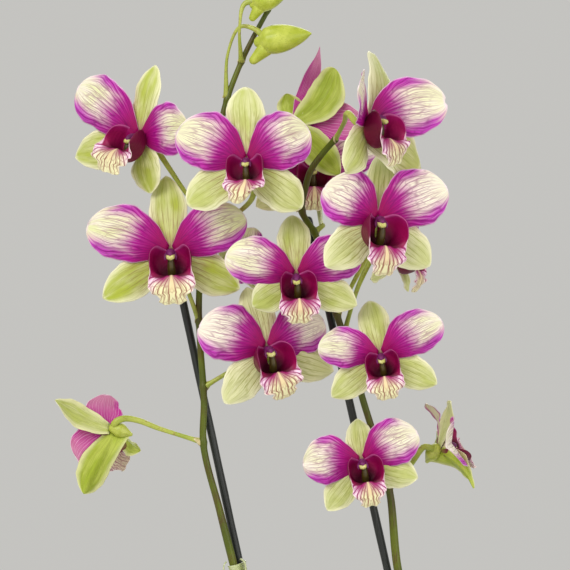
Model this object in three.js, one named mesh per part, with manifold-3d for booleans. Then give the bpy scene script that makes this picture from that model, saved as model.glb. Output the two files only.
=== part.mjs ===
// Potted dendrobium orchid: four canes in a round pot, two of them ending in staked flower
// spikes that carry fifteen open flowers and four buds.
// Millimetres, +Z up. The origin is the centre of the pot's underside, and the flowers face -Y.
import * as THREE from "three";
import { mergeVertices } from "three/addons/utils/BufferGeometryUtils.js";
import Module from "manifold-3d";

const wasm = await Module();
wasm.setup();
const { Manifold, Mesh } = wasm;

// ---------------------------------------------------------------- driving dimensions

const GAP = 0.3; // clearance between pieces that touch

const POT = {
  height: 105, baseRadius: 42, bodyRadius: 54.5, rimRadius: 60, rimHeight: 17,
  wall: 3.2, floor: 4, lip: 1.2, sides: 32,
};
const MEDIUM = { top: 91, crown: 3, crownShare: 0.6 };

const PEDICEL = { stemEnd: 1.3, flowerEnd: 1.6, sides: 5, segments: 4 };
const STEM_SIDES = 8;
const STAKE_RADIUS = 2;
const LEAF = { thickness: 1.6, keel: 2.4, rows: 8 };
const CLIP = {
  heights: { left: 324, right: 312 },
  height: 9, wall: 0.9, wingLength: 7, wingWidth: 6, wingTaper: 0.4, wingThickness: 0.8, wingShare: 0.45,
};

// Half-width along a blade, as a share of its widest half-width: [distance along, share].
const OUTLINE = {
  sepal: [[0, 0.4], [0.2, 0.72], [0.4, 0.97], [0.55, 1], [0.72, 0.9], [0.88, 0.62], [1, 0.14]],
  petal: [
    [0, 0.22], [0.14, 0.42], [0.32, 0.84], [0.52, 1], [0.66, 0.99], [0.82, 0.82], [0.93, 0.54], [1, 0.2],
  ],
  leaf: [[0, 0.36], [0.12, 0.62], [0.4, 1], [0.7, 0.95], [0.88, 0.6], [1, 0.12]],
};

// Sepals and petals: the widths are those of a full-size flower. A blade starts at a share of
// its length from base, which lies on the flower's upright middle line. curl is the power of
// the distance along a blade that its forward lean grows with.
const TEPAL = { thickness: 0.9, start: 0.05, curl: 1.6 };
const WHORLS = {
  dorsal: { width: 17.4, base: -3, bow: 1, arch: 0, setback: 1, rows: 4, outline: OUTLINE.sepal },
  lateral: { width: 18.6, base: -4.5, bow: 1, arch: 0.6, setback: 1, rows: 4, outline: OUTLINE.sepal },
  petal: { width: 25.4, base: -2.6, bow: 1.6, arch: 2.1, setback: 0, rows: 5, outline: OUTLINE.petal },
};

// The heart of a full-size flower: the column, the hub and the chin behind it, as ellipsoids.
const HEART = [
  { centre: [0, -3.4, -2.4], radii: [2.4, 5.2, 2.5] },
  { centre: [0, 1.6, -3.4], radii: [3.3, 2.7, 4.6] },
  { centre: [0, 5.4, -6.4], radii: [2.3, 3.6, 4.4] },
];
const OVARY_LENGTH = 7;

// The lip of a full-size flower, section by section from its base to its tip: the midrib's y
// and z, the edge's distance from the middle and height over the midrib, how far the side
// wall bulges past the edge, and the section's forward lean in degrees. The hinge is the point
// that the lip turns about, and the mid-lobe starts at a section.
const LIP = {
  sections: [
    [-0.9, -12, 2, 10, 4, 1], [-1.8, -14.4, 3.8, 15, 8.5, 3], [-4.6, -15.4, 6.2, 17.2, 6.9, 8],
    [-8, -14.1, 8.7, 14.2, 2.8, 15], [-10.8, -12.3, 9.2, 6.8, 0.8, 32], [-12.4, -12.6, 9.6, 2.6, 0.2, 46],
    [-14.2, -15.4, 10.4, 0.7, -1, 68], [-14.5, -18.9, 9.3, 0, -1, 92], [-14.1, -21, 6.1, -0.7, -1, 100],
    [-12.2, -24.6, 4.8, -1.2, -1, 112],
  ],
  columns: 6, thickness: 0.9, hinge: [0, -2, -6], midLobe: 5,
};

// A bud's outline, as [share of its radius, share of its length]. Its chin springs from
// chinFrom along the bud and narrows between the two shares of its radius.
const BUD = {
  outline: [[0, 0], [0.55, -0.12], [0.95, 0.12], [1, 0.32], [0.85, 0.58], [0.5, 0.85], [0.12, 1], [0, 1]],
  sides: 10, chinFrom: 0.25, chinShares: [0.75, 0.3], chinSides: 8, pedicelFrom: 0.15,
};

// Canes: the axis from the pot up, as [x, y, z, radius]. The first two carry on as spikes.
const CANES = {
  left: [
    [-41, -3, 62, 3.4], [-43, -3.5, 88, 4.2], [-49, -5.5, 125, 6], [-57, -6, 170, 7],
    [-66, -6, 215, 6.8], [-75, -5, 255, 5.6], [-81, -3, 283, 3.6], [-85.5, -1, 300, 2.4],
    [-93, 0, 328, 2.1], [-101.2, 0, 360, 2], [-109.2, 0, 392, 2], [-109, 0, 415, 2],
    [-111, 0, 445, 1.9], [-111.5, 0, 465, 1.9], [-109.5, 0, 495, 1.8], [-105, 0, 525, 1.7],
    [-99, 0, 560, 1.7], [-91, 0, 582.5, 1.6], [-84.5, 0, 596, 1.5], [-77, 0, 610, 1.4],
    [-71, 0, 622, 1.2], [-64, 0, 633, 1.1],
  ],
  right: [
    [34, -3, 58, 3.4], [34, -4, 88, 4.2], [31, -6, 120, 6], [24, -6.5, 165, 7],
    [15, -6.5, 210, 6.8], [7, -5, 250, 5.6], [1, -2.5, 278, 3.6], [-3.5, -1, 298, 2.5],
    [-12, 0, 330, 2.1], [-16, 0, 368, 2.1], [-20.5, 0, 386, 2], [-29.5, 0, 415, 2],
    [-35, 0, 435, 2], [-42.5, 0, 457.5, 2], [-48.5, 0, 480, 2], [-53, 0, 497, 1.9],
    [-60, 0, 509.5, 1.9], [-58.5, 0, 520, 1.9], [-55.5, 0, 530, 1.9], [-49, -1, 539, 1.8],
    [-43.5, -4, 545, 1.7],
  ],
  front: [
    [6, -24, 40, 3.6], [8, -25, 90, 4.4], [13, -29, 125, 6.6], [19, -34, 165, 7.2],
    [24, -38, 200, 6.2], [28, -41, 226, 4],
  ],
  back: [
    [-9, 23, 40, 3.4], [-10, 24, 90, 4.2], [-14, 28, 120, 6.2], [-20, 34, 155, 6.8],
    [-26, 39, 185, 5.6], [-30, 42, 206, 3.8],
  ],
};

// Stakes: straight rods, pushed into the medium beside the two flowering canes.
const STAKES = {
  left: [[-31.5, 5, 56], [-126, 5, 493]],
  right: [[43, 5, 63.5], [-56.7, 5, 505]],
};

// Leaves: where each leaves its cane [x, y, z], its heading in plan, length, width, and
// the climb of its base and of its tip, in degrees above the horizontal.
const LEAVES = {
  left_1: { cane: "left", from: [-72, -5.3, 240], heading: 195, length: 128, width: 31, climb: [42, -32] },
  left_2: { cane: "left", from: [-61.5, -6, 192], heading: 305, length: 106, width: 29, climb: [60, -8] },
  left_3: { cane: "left", from: [-53, -5.8, 148], heading: 215, length: 104, width: 28, climb: [36, -38] },
  right_1: { cane: "right", from: [10, -5.6, 236], heading: 8, length: 130, width: 32, climb: [40, -30] },
  right_2: { cane: "right", from: [20, -6.5, 186], heading: 184, length: 92, width: 27, climb: [58, 16] },
  right_3: { cane: "right", from: [28, -6.3, 140], heading: 338, length: 112, width: 30, climb: [38, -36] },
  front_1: { cane: "front", from: [25.5, -39, 208], heading: 250, length: 118, width: 31, climb: [40, -38] },
  front_2: { cane: "front", from: [21, -35.6, 180], heading: 318, length: 122, width: 32, climb: [44, -34] },
  back_1: { cane: "back", from: [-28, 40.5, 194], heading: 118, length: 120, width: 31, climb: [44, -34] },
  back_2: { cane: "back", from: [-22, 35.6, 165], heading: 62, length: 110, width: 29, climb: [42, -34] },
};

// Flowers. turn is [yaw, pitch, roll] in degrees: towards +X, upwards, and counterclockwise
// as seen from in front. size scales the lip and column. Each tepal's tip is [x, z, lean]:
// where it lies in the flower's own plane, and how far the tepal tips forward, in degrees,
// with a share of the full width and a sideways bow of its middle line where they differ. lift
// and swing turn the lip upwards and towards +X, in degrees, and spread widens its mid-lobe.
// pedicel lists the points from the flower's back to its stem.
const FLOWERS = {
  "01": {
    stem: "left", at: [-141, -6, 548], turn: [-35, -5, -12], size: 1, lift: 20, swing: -11, spread: 1.35,
    dorsal: [-0.5, 34, -8, 0.92], petals: [[-38, 17, 9, 1.12], [34, 8, 9, 1.04]],
    laterals: [[-40, -19, 2, 1.08], [13, -28, 9]],
    pedicel: [[-130.5, -1, 537], [-118.5, 0, 519], [-108.3, 0, 503]],
  },
  "02": {
    stem: "left", at: [-87, -36, 534], turn: [-5, 0, 2], size: 0.95,
    dorsal: [-0.5, 35, -8, 1.17], petals: [[-33, 14, 7, 1.2], [31, 12, 7, 1.2]],
    laterals: [[-30, -21.5, 2, 1.12], [26, -25, 2, 1.12]],
    pedicel: [[-84, -18, 517], [-91, -8, 509], [-109.3, 0, 497]],
  },
  "03": {
    stem: "left", at: [-125, -12, 491], turn: [0, -5, 4], size: 1.1,
    dorsal: [-0.5, 35, -18], petals: [[-40, 14, 8, 1.02], [38, 13, 8, 0.95]],
    laterals: [[-35.5, -23, 2, 0.97], [32.5, -23, 2]],
    pedicel: [[-123, -1.5, 487], [-117, -1.5, 470], [-111.3, 0, 454]],
  },
  "04": {
    stem: "right", at: [-63, -30, 479], turn: [0, -12, 2], size: 0.95, swing: 6,
    dorsal: [-1, 24.5, -30], petals: [[-34, 10, 8], [32, 10, 8]], laterals: [[-22, -17, 4], [29, -18, 4]],
    pedicel: [[-57, -16, 473], [-51, -8, 472], [-48.2, 0, 479]],
  },
  "05": {
    stem: "left", at: [-78, -10, 443], turn: [14, -5, 12], size: 1.04, lift: -5, swing: 6,
    dorsal: [-1, 28, -22], petals: [[-31.9, 16, 6, 1.1], [31, 5, 6]],
    laterals: [[-25.7, -24.5, 2], [31.7, -21, 2]],
    pedicel: [[-88, -3, 434], [-99.2, -1, 427.5], [-107.8, 0, 421.5]],
  },
  "06": {
    stem: "right", at: [-24, -44, 506], turn: [12, -5, -3], size: 1.1, lift: -6, swing: 10, spread: 0.85,
    dorsal: [7, 30, -30, 0.95], petals: [[-27.5, 12, 6], [31, 15.5, 16, 1.04]],
    laterals: [[-24, -26, 4], [28, -23, 4]],
    pedicel: [[-27.5, -26, 490], [-36, -9, 471], [-42.5, 0, 458]],
  },
  "07": {
    stem: "right", at: [-28.5, -52, 552.5], turn: [55, 8, -5], size: 1, lift: -6, swing: -5,
    dorsal: [19.5, 35, -5, 1.5, -8], petals: [[-31, 8, 28], [25, 6, 48, 1.14]],
    laterals: [[-20, -29, 0], [34.5, -20.5, 12, 1.4]],
    pedicel: [[-38, -42, 555], [-39.5, -22, 552], [-43.3, -4.2, 545.3]],
  },
  "08": {
    stem: "right", at: [-22, -24, 440], turn: [0, -10, 9.5], size: 0.89,
    dorsal: [-1, 22, -34, 1.03], petals: [[-29.5, 8, 8, 0.92], [32, 11, 8, 1.03]],
    laterals: [[-27, -19, 3], [25, -21, 3]],
    pedicel: [[-26, -10, 434], [-32, -4, 432], [-35.8, 0, 438]],
  },
  "09": {
    stem: "right", at: [-31, -20, 388], turn: [0, -5, 8.5], size: 0.93, swing: 7, spread: 0.84,
    dorsal: [1, 16, -44, 0.88], petals: [[-29, 1, 4, 1.03], [29, 8, 4, 1.03]],
    laterals: [[-20.5, -24, 2, 0.93], [26, -14.5, 2]],
    pedicel: [[-31, -8, 390], [-28, -5, 396], [-23.6, 0, 396]],
  },
  "10": {
    stem: "right", at: [-63, 6, 556], turn: [175, -5, 30], size: 0.9,
    dorsal: [-4.5, 31.8, 4, 1.2, -5], petals: [[-31.5, 14.5, 10, 0.9], [10, 39.4, 16, 0.4]],
    laterals: [[-33, -13, 10], [11, 9, 16, 0.8]],
    pedicel: [[-64, -6, 550], [-69, -3, 544], [-69, 0, 528], [-60.6, 0, 509.5]],
  },
  "11": {
    stem: "left", at: [-157.5, 0, 401], turn: [215, -35, -50], size: 0.95, lift: 16,
    dorsal: [9.8, 30.5, -10, 0.9], petals: [[-16, 8.4, -5, 0.85], [20.7, 4.9, 25, 0.8]],
    laterals: [[-2, -21, 22, 0.6], [40.3, -4.4, 10, 0.9]],
    pedicel: [[-149, -4, 406], [-142, -2, 405], [-132, 0, 401], [-110, 0, 394]],
  },
  "12": {
    stem: "right", at: [10, 0, 393], turn: [115, 5, 41], size: 0.95, lift: 25,
    dorsal: [5, 25, 5, 0.55], petals: [[-19, 18, -21, 1.05], [21, 8.4, 0, 0.3]],
    laterals: [[-26.3, -6.2, 20, 0.6, 3.5], [14, -19, 28, 0.7]],
    pedicel: [[1, 0, 391.5], [-6, 0, 382], [-15.8, 0, 371.5]],
  },
  "13": {
    stem: "right", at: [-54.5, 38, 534], turn: [5, 0, 0], size: 0.95,
    dorsal: [0, 33, -8], petals: [[-34, 10, 8], [34, 10, 8]], laterals: [[-29, -21, 3], [29, -21, 3]],
    pedicel: [[-53, 47, 529], [-51, 42, 514], [-50, 20, 503], [-50, 3, 502], [-53.7, 0, 499]],
  },
  "14": {
    stem: "right", at: [-8, 22, 492.5], turn: [70, -25, 0], size: 0.9, lift: 15,
    dorsal: [0, 28, -5], petals: [[-28, 8, 10], [22, 4, -5, 0.8]],
    laterals: [[-22, -20, 0], [18.8, -22.6, 20, 0.4]],
    pedicel: [[-19, 23, 493], [-30, 14, 475], [-36, 6, 458], [-39, 0, 447.5]],
  },
  "15": {
    stem: "left", at: [-88.5, 16, 484], turn: [-10, -10, 66], size: 0.65,
    dorsal: [-0.6, 15.4, 0], petals: [[-13, 3, -30, 0.8], [17.4, 4.1, 0]],
    laterals: [[-9, -14, 12], [14, -12, 12]],
    pedicel: [[-95, 22, 486], [-104, 12, 483], [-111, 0, 476]],
  },
};

// Buds: base and apex, the widest radius, and the points of the pedicel down to the stem.
const BUDS = {
  "1": {
    base: [-80, -10, 593], apex: [-55, -12, 597], radius: 7.2, chin: [-84, -10, 584],
    pedicel: [[-84, -6, 600], [-91, -4, 601], [-97, -2, 588], [-98, 0, 566]],
  },
  "2": {
    base: [-83, -9, 612], apex: [-65, -14, 620], radius: 6, chin: [-84.5, -10, 605],
    pedicel: [[-88.5, -9, 612], [-91, -9.5, 600], [-90.4, -0.6, 584]],
  },
  "3": {
    base: [-66.5, 7, 624], apex: [-54, 9, 627], radius: 4.4, chin: [-67, 7, 618.5],
    pedicel: [[-71, 8, 626], [-76, 6, 618], [-77, 0, 610]],
  },
  "4": {
    base: [-60, -1, 639.5], apex: [-51.5, -2, 642], radius: 3.2, chin: [-60, -1, 635.5],
    pedicel: [[-63, -1, 640], [-64.5, 0, 636], [-64, 0, 633]],
  },
};

// ---------------------------------------------------------------- materials

const finish = (color, roughness) => new THREE.MeshStandardMaterial({ color, roughness, metalness: 0 });
const PAINT = {
  tepal: finish("#d9c9b8", 0.5),
  lip: finish("#8c1457", 0.45),
  bud: finish("#a9b04a", 0.5),
  cane: finish("#8b9a36", 0.5),
  leaf: finish("#3f6a2c", 0.4),
  stake: finish("#1f211e", 0.55),
  clip: finish("#d8e0b4", 0.35),
  pot: finish("#a65a3a", 0.75),
  medium: finish("#5a4030", 0.9),
};

// ---------------------------------------------------------------- building tools

const vector = ([x, y, z]) => new THREE.Vector3(x, y, z);
const radians = THREE.MathUtils.degToRad;

// The value at t of a table of [t, value] rows.
function along(table, t) {
  const next = table.findIndex(([at]) => at >= t);
  if (next <= 0) return table[Math.max(next, 0)][1];
  const [t0, v0] = table[next - 1];
  const [t1, v1] = table[next];
  return v0 + ((v1 - v0) * (t - t0)) / (t1 - t0);
}

// A closed geometry as a solid, and a solid as a geometry.
function solid(geometry) {
  geometry.deleteAttribute("normal");
  geometry.deleteAttribute("uv");
  const merged = mergeVertices(geometry, 1e-4);
  return new Manifold(new Mesh({
    numProp: 3,
    vertProperties: Float32Array.from(merged.attributes.position.array),
    triVerts: Uint32Array.from(merged.index.array),
  }));
}

function geometryOf(body) {
  const mesh = body.getMesh();
  const geometry = new THREE.BufferGeometry();
  geometry.setAttribute("position", new THREE.BufferAttribute(mesh.vertProperties, 3));
  geometry.setIndex(new THREE.BufferAttribute(mesh.triVerts, 1));
  geometry.computeVertexNormals();
  return geometry;
}

function piece(name, body, material) {
  const mesh = new THREE.Mesh(geometryOf(body), material);
  mesh.name = name;
  return mesh;
}

// Moves every vertex of a geometry to where place puts it.
function reshape(geometry, place) {
  const position = geometry.attributes.position;
  for (let i = 0; i < position.count; i += 1) {
    const moved = place(position.getX(i), position.getY(i), position.getZ(i));
    position.setXYZ(i, moved.x, moved.y, moved.z);
  }
  return geometry;
}

// A round rod along a smooth curve through the points, its radius running with the share
// of the length travelled.
function rod(points, radiusAt, sides, segments) {
  const curve = new THREE.CatmullRomCurve3(points, false, "centripetal");
  const frames = curve.computeFrenetFrames(segments);
  const straight = new THREE.CylinderGeometry(1, 1, 1, sides, segments);
  return solid(reshape(straight, (x, y, z) => {
    const ring = Math.round((y + 0.5) * segments);
    const radius = radiusAt(ring / segments);
    return curve.getPointAt(ring / segments)
      .addScaledVector(frames.normals[ring], x * radius)
      .addScaledVector(frames.binormals[ring], -z * radius);
  }));
}

// Moves the two ends of a route outwards.
function lengthen(points, by) {
  const stretch = (end, next) => end.add(end.clone().sub(next).setLength(by));
  stretch(points[0], points[1]);
  stretch(points[points.length - 1], points[points.length - 2]);
  return points;
}

// A cane or spike, with one ring of vertices at each of its points.
function cane(path, grow = 0) {
  const points = path.map(vector);
  const count = points.length - 1;
  const curve = new THREE.CatmullRomCurve3(points, false, "centripetal");
  const tangents = points.map((_, i) => curve.getTangent(i / count));
  if (grow > 0) lengthen(points, grow);
  const straight = new THREE.CylinderGeometry(1, 1, 1, STEM_SIDES, count);
  return solid(reshape(straight, (x, y, z) => {
    const ring = Math.round((y + 0.5) * count);
    const tangent = tangents[ring];
    const across = new THREE.Vector3(1, 0, 0).addScaledVector(tangent, -tangent.x).normalize();
    const deep = new THREE.Vector3().crossVectors(across, tangent);
    const radius = path[ring][3] + grow;
    return points[ring].clone().addScaledVector(across, x * radius).addScaledVector(deep, z * radius);
  }));
}

// A sepal or petal in a flower's plane, from its base out to its tip, leaning forward. grow
// moves its edges and faces outwards.
function blade(tip, whorl, size, grow = 0) {
  const [tipX, tipZ, lean, share = 1, arch = whorl.arch * size] = tip;
  const base = whorl.base * size;
  const angle = Math.atan2(tipZ - base, tipX);
  const outward = new THREE.Vector3(Math.cos(angle), 0, Math.sin(angle));
  const across = new THREE.Vector3(-Math.sin(angle), 0, Math.cos(angle));
  const forward = new THREE.Vector3(0, -1, 0);
  const reach = Math.hypot(tipX, tipZ - base);
  const rise = reach * Math.tan(radians(lean));
  const upwards = arch * Math.sign(across.z);
  const slab = new THREE.BoxGeometry(1, 1, 1, whorl.rows, 2, 1);
  return solid(reshape(slab, (x, y, z) => {
    const t = THREE.MathUtils.lerp(TEPAL.start, 1, x + 0.5);
    const width = whorl.width * size * share * along(whorl.outline, t) + 2 * grow;
    const hump = 4 * t * (1 - t);
    const cup = whorl.bow * hump * (1 - 2 * Math.abs(y));
    const lift = rise * t ** TEPAL.curl + cup + z * (TEPAL.thickness + 2 * grow);
    return new THREE.Vector3(0, whorl.setback, base)
      .addScaledVector(outward, reach * t + 2 * x * grow)
      .addScaledVector(across, y * width + upwards * hump)
      .addScaledVector(forward, lift);
  }));
}

// An ellipsoid with its centre and half-axes given.
function ellipsoid(centre, radii) {
  const ball = new THREE.SphereGeometry(1, 6, 4);
  return solid(reshape(ball, (x, y, z) => new THREE.Vector3(
    centre[0] + x * radii[0], centre[1] + y * radii[1], centre[2] + z * radii[2],
  )));
}

// ---------------------------------------------------------------- stems and stakes

const stems = {};
const clearances = {};
for (const [name, path] of Object.entries(CANES)) {
  stems[name] = cane(path);
  clearances[name] = cane(path, GAP);
}

const stakes = {};
const stakeClearances = {};
for (const [name, ends] of Object.entries(STAKES)) {
  stakes[name] = rod(ends.map(vector), () => STAKE_RADIUS, STEM_SIDES, 1);
  stakeClearances[name] = rod(lengthen(ends.map(vector), GAP), () => STAKE_RADIUS + GAP, STEM_SIDES, 1);
}

// ---------------------------------------------------------------- flowers

// A point of the lip's sheet: s runs from -1 at one edge to 1 at the other. Each half of a
// section is a cubic curve that leaves the midrib sideways and ends at the edge.
function lipPoint(row, s, spread) {
  const [y, z, edge, height, bulge, lean] = LIP.sections[row];
  const share = Math.abs(s);
  const near = 3 * share * (1 - share) ** 2;
  const middle = 3 * share ** 2 * (1 - share);
  const far = share ** 3;
  const wide = edge * (row < LIP.midLobe ? 1 : spread);
  const out = near * Math.max(wide * 0.6, 4) + middle * (wide + bulge) + far * wide;
  const rise = height * (middle * 0.5 + far);
  const tilt = radians(lean);
  return new THREE.Vector3(Math.sign(s) * out, y - rise * Math.sin(tilt), z + rise * Math.cos(tilt));
}

// The lip: a deep pouch with side lobes round the column, and a mid-lobe that hangs in front.
function lipSheet({ size, lift = 0, swing = 0, spread = 1 }) {
  const rows = LIP.sections.length - 1;
  const step = 1 / LIP.columns;
  const slab = new THREE.BoxGeometry(1, 1, 1, rows, LIP.columns, 1);
  const sheet = solid(reshape(slab, (x, y, z) => {
    const row = Math.round((x + 0.5) * rows);
    const s = 2 * y;
    const at = (i, side) => lipPoint(
      THREE.MathUtils.clamp(i, 0, rows), THREE.MathUtils.clamp(side, -1, 1), spread,
    );
    const downwards = at(row + 1, s).sub(at(row - 1, s));
    const across = at(row, s + step).sub(at(row, s - step));
    const normal = downwards.cross(across).normalize();
    return at(row, s).addScaledVector(normal, z * LIP.thickness);
  }));
  return sheet.translate(LIP.hinge.map((value) => -value))
    .rotate([-lift, 0, swing])
    .translate(LIP.hinge)
    .scale(size);
}

// Hub, column and chin, which the tepals and the lip spring from.
function heart(size, grow = 0) {
  return Manifold.union(HEART.map(({ centre, radii }) => (
    ellipsoid(centre.map((c) => c * size), radii.map((r) => r * size + grow))
  )));
}

// The five tepals and the heart of a flower, or the space they clear when grown.
function bloom(spec, grow = 0) {
  const whorls = { dorsal: [spec.dorsal], lateral: spec.laterals, petal: spec.petals };
  const blades = Object.entries(whorls).flatMap(([name, tips]) => (
    tips.map((tip) => blade(tip, WHORLS[name], spec.size, grow))
  ));
  return Manifold.union([...blades, heart(spec.size, grow)]);
}

// The largest of the parts that a body falls into.
function largest(body) {
  return body.decompose().reduce((best, part) => (part.volume() > best.volume() ? part : best));
}

function flower(id, spec) {
  const group = new THREE.Group();
  const [yaw, pitch, roll] = spec.turn.map(radians);
  group.position.set(...spec.at);
  group.rotation.set(-pitch, -roll, yaw, "ZXY");
  group.updateMatrixWorld();
  const toLocal = group.matrixWorld.clone().invert();

  const back = new THREE.Vector3(0, 1, -3);
  const ovary = new THREE.Vector3(0, OVARY_LENGTH * spec.size, -1.5);
  const route = [back, ovary, ...spec.pedicel.map((point) => vector(point).applyMatrix4(toLocal))];
  const radiusAt = (t) => THREE.MathUtils.lerp(PEDICEL.flowerEnd, PEDICEL.stemEnd, t);
  const pedicel = rod(route, radiusAt, PEDICEL.sides, PEDICEL.segments + spec.pedicel.length - 2)
    .subtract(clearances[spec.stem].transform(toLocal.elements));

  const perianth = Manifold.union([bloom(spec), pedicel]);
  const lip = largest(lipSheet(spec).subtract(bloom(spec, GAP)));
  group.add(piece(`flower_${id}_perianth`, perianth, PAINT.tepal));
  group.add(piece(`flower_${id}_lip`, lip, PAINT.lip));
  return group;
}

// ---------------------------------------------------------------- buds

function bud(id, spec) {
  const base = vector(spec.base);
  const apex = vector(spec.apex);
  const length = base.distanceTo(apex);
  const lean = new THREE.Quaternion().setFromUnitVectors(
    new THREE.Vector3(0, 1, 0), apex.clone().sub(base).normalize(),
  );
  const profile = BUD.outline.map(([r, h]) => new THREE.Vector2(r * spec.radius, h * length));
  const body = solid(reshape(new THREE.LatheGeometry(profile, BUD.sides), (x, y, z) => (
    new THREE.Vector3(x, y, z).applyQuaternion(lean).add(base)
  )));
  const chinBase = base.clone().lerp(apex, BUD.chinFrom);
  const chinRadius = (t) => spec.radius * THREE.MathUtils.lerp(...BUD.chinShares, t);
  const chin = rod([chinBase, vector(spec.chin)], chinRadius, BUD.chinSides, 2);
  const route = [base.clone().lerp(apex, BUD.pedicelFrom), ...spec.pedicel.map(vector)];
  const pedicel = rod(route, () => PEDICEL.stemEnd, PEDICEL.sides, PEDICEL.segments)
    .subtract(clearances.left);
  return piece(`bud_${id}`, Manifold.union([body, chin, pedicel]), PAINT.bud);
}

// ---------------------------------------------------------------- leaves

// A leathery leaf: a keeled strap that climbs from the cane and arches over.
function leaf(name, spec) {
  const heading = radians(spec.heading);
  const outward = new THREE.Vector3(Math.cos(heading), Math.sin(heading), 0);
  const across = new THREE.Vector3(-Math.sin(heading), Math.cos(heading), 0);
  const spine = [vector(spec.from)];
  const climbs = [];
  const step = spec.length / LEAF.rows;
  for (let i = 0; i <= LEAF.rows; i += 1) {
    climbs.push(radians(THREE.MathUtils.lerp(spec.climb[0], spec.climb[1], i / LEAF.rows)));
    const next = spine[i].clone().addScaledVector(outward, step * Math.cos(climbs[i]));
    next.z += step * Math.sin(climbs[i]);
    spine.push(next);
  }
  const slab = new THREE.BoxGeometry(1, 1, 1, LEAF.rows, 2, 1);
  const body = solid(reshape(slab, (x, y, z) => {
    const row = Math.round((x + 0.5) * LEAF.rows);
    const share = along(OUTLINE.leaf, row / LEAF.rows);
    const up = outward.clone().multiplyScalar(-Math.sin(climbs[row]));
    up.z = Math.cos(climbs[row]);
    const lift = z * LEAF.thickness + LEAF.keel * (2 * Math.abs(y) - 1) * share;
    return spine[row].clone().addScaledVector(across, y * spec.width * share).addScaledVector(up, lift);
  }));
  return piece(`leaf_${name}`, body.subtract(clearances[spec.cane]), PAINT.leaf);
}

// ---------------------------------------------------------------- clips

// A clip, centred on the stem: a short oval sleeve round stem and stake, and two curved wings.
function clip(stakeX, stakeY) {
  const outer = STAKE_RADIUS + GAP + CLIP.wall;
  const towards = Math.atan2(stakeY, stakeX);
  const quarter = Math.PI / 2;
  const oval = new THREE.Shape();
  oval.absarc(0, 0, outer, towards + quarter, towards + 3 * quarter, false);
  oval.absarc(stakeX, stakeY, outer, towards - quarter, towards + quarter, false);
  const sleeve = solid(new THREE.ExtrudeGeometry(oval, {
    depth: CLIP.height, bevelEnabled: false, curveSegments: 4,
  }));
  const wing = (side) => {
    const slab = new THREE.BoxGeometry(1, 1, 1, 3, 1, 1);
    return solid(reshape(slab, (x, y, z) => {
      const t = x + 0.5;
      const root = CLIP.height * CLIP.wingShare;
      return new THREE.Vector3(
        side * (outer - CLIP.wall + CLIP.wingLength * Math.sin(t * quarter)),
        y * CLIP.wingWidth * (1 - CLIP.wingTaper * t) * side - 1,
        root + CLIP.wingLength * (1 - Math.cos(t * quarter)) + z * CLIP.wingThickness,
      );
    }));
  };
  return Manifold.union([sleeve, wing(-1), wing(1)]);
}

function placedClip(side) {
  const height = CLIP.heights[side];
  const atHeight = (low, high) => {
    const t = (height - low[2]) / (high[2] - low[2]);
    return [THREE.MathUtils.lerp(low[0], high[0], t), THREE.MathUtils.lerp(low[1], high[1], t)];
  };
  const above = CANES[side].findIndex((point) => point[2] > height);
  const stemAt = atHeight(CANES[side][above - 1], CANES[side][above]);
  const stakeAt = atHeight(...STAKES[side]);
  const [low, high] = STAKES[side];
  const tilt = Math.atan2(high[0] - low[0], high[2] - low[2]);
  const place = new THREE.Matrix4().makeRotationY(tilt).setPosition(stemAt[0], stemAt[1], height);
  const body = clip(stakeAt[0] - stemAt[0], stakeAt[1] - stemAt[1])
    .transform(place.elements)
    .subtract(clearances[side])
    .subtract(stakeClearances[side]);
  return piece(`clip_${side}`, body, PAINT.clip);
}

// ---------------------------------------------------------------- pot and medium

const innerRadius = (z) => (
  POT.baseRadius + ((POT.bodyRadius - POT.baseRadius) * z) / (POT.height - POT.rimHeight) - POT.wall
);

function pot() {
  const shoulder = POT.height - POT.rimHeight;
  const profile = [
    [0, 0], [POT.baseRadius - POT.lip, 0], [POT.baseRadius, POT.lip], [POT.bodyRadius, shoulder],
    [POT.rimRadius - POT.lip, shoulder], [POT.rimRadius, shoulder + POT.lip],
    [POT.rimRadius, POT.height - POT.lip], [POT.rimRadius - POT.lip, POT.height],
    [innerRadius(POT.height) + POT.lip, POT.height], [innerRadius(POT.height), POT.height - POT.lip],
    [innerRadius(POT.floor), POT.floor], [0, POT.floor],
  ].map(([r, z]) => new THREE.Vector2(r, z));
  const body = solid(new THREE.LatheGeometry(profile, POT.sides).rotateX(Math.PI / 2));
  return piece("pot", body, PAINT.pot);
}

function medium() {
  const bottom = POT.floor + GAP;
  const clear = 2 * GAP;
  const profile = [
    [0, bottom], [innerRadius(bottom) - clear, bottom], [innerRadius(MEDIUM.top) - clear, MEDIUM.top],
    [innerRadius(MEDIUM.top) * MEDIUM.crownShare, MEDIUM.top + MEDIUM.crown], [0, MEDIUM.top + MEDIUM.crown],
  ].map(([r, z]) => new THREE.Vector2(r, z));
  const plug = solid(new THREE.LatheGeometry(profile, POT.sides).rotateX(Math.PI / 2));
  const holes = [...Object.values(clearances), ...Object.values(stakeClearances)];
  return piece("medium", holes.reduce((body, hole) => body.subtract(hole), plug), PAINT.medium);
}

// ---------------------------------------------------------------- the plant

const orchid = new THREE.Group();
orchid.name = "dendrobium_orchid";
orchid.add(pot(), medium());
for (const [name, body] of Object.entries(stems)) orchid.add(piece(`cane_${name}`, body, PAINT.cane));
for (const [name, body] of Object.entries(stakes)) orchid.add(piece(`stake_${name}`, body, PAINT.stake));
for (const [name, spec] of Object.entries(LEAVES)) orchid.add(leaf(name, spec));
orchid.add(placedClip("left"), placedClip("right"));
for (const [id, spec] of Object.entries(FLOWERS)) orchid.add(flower(id, spec));
for (const [id, spec] of Object.entries(BUDS)) orchid.add(bud(id, spec));

export default orchid;
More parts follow.
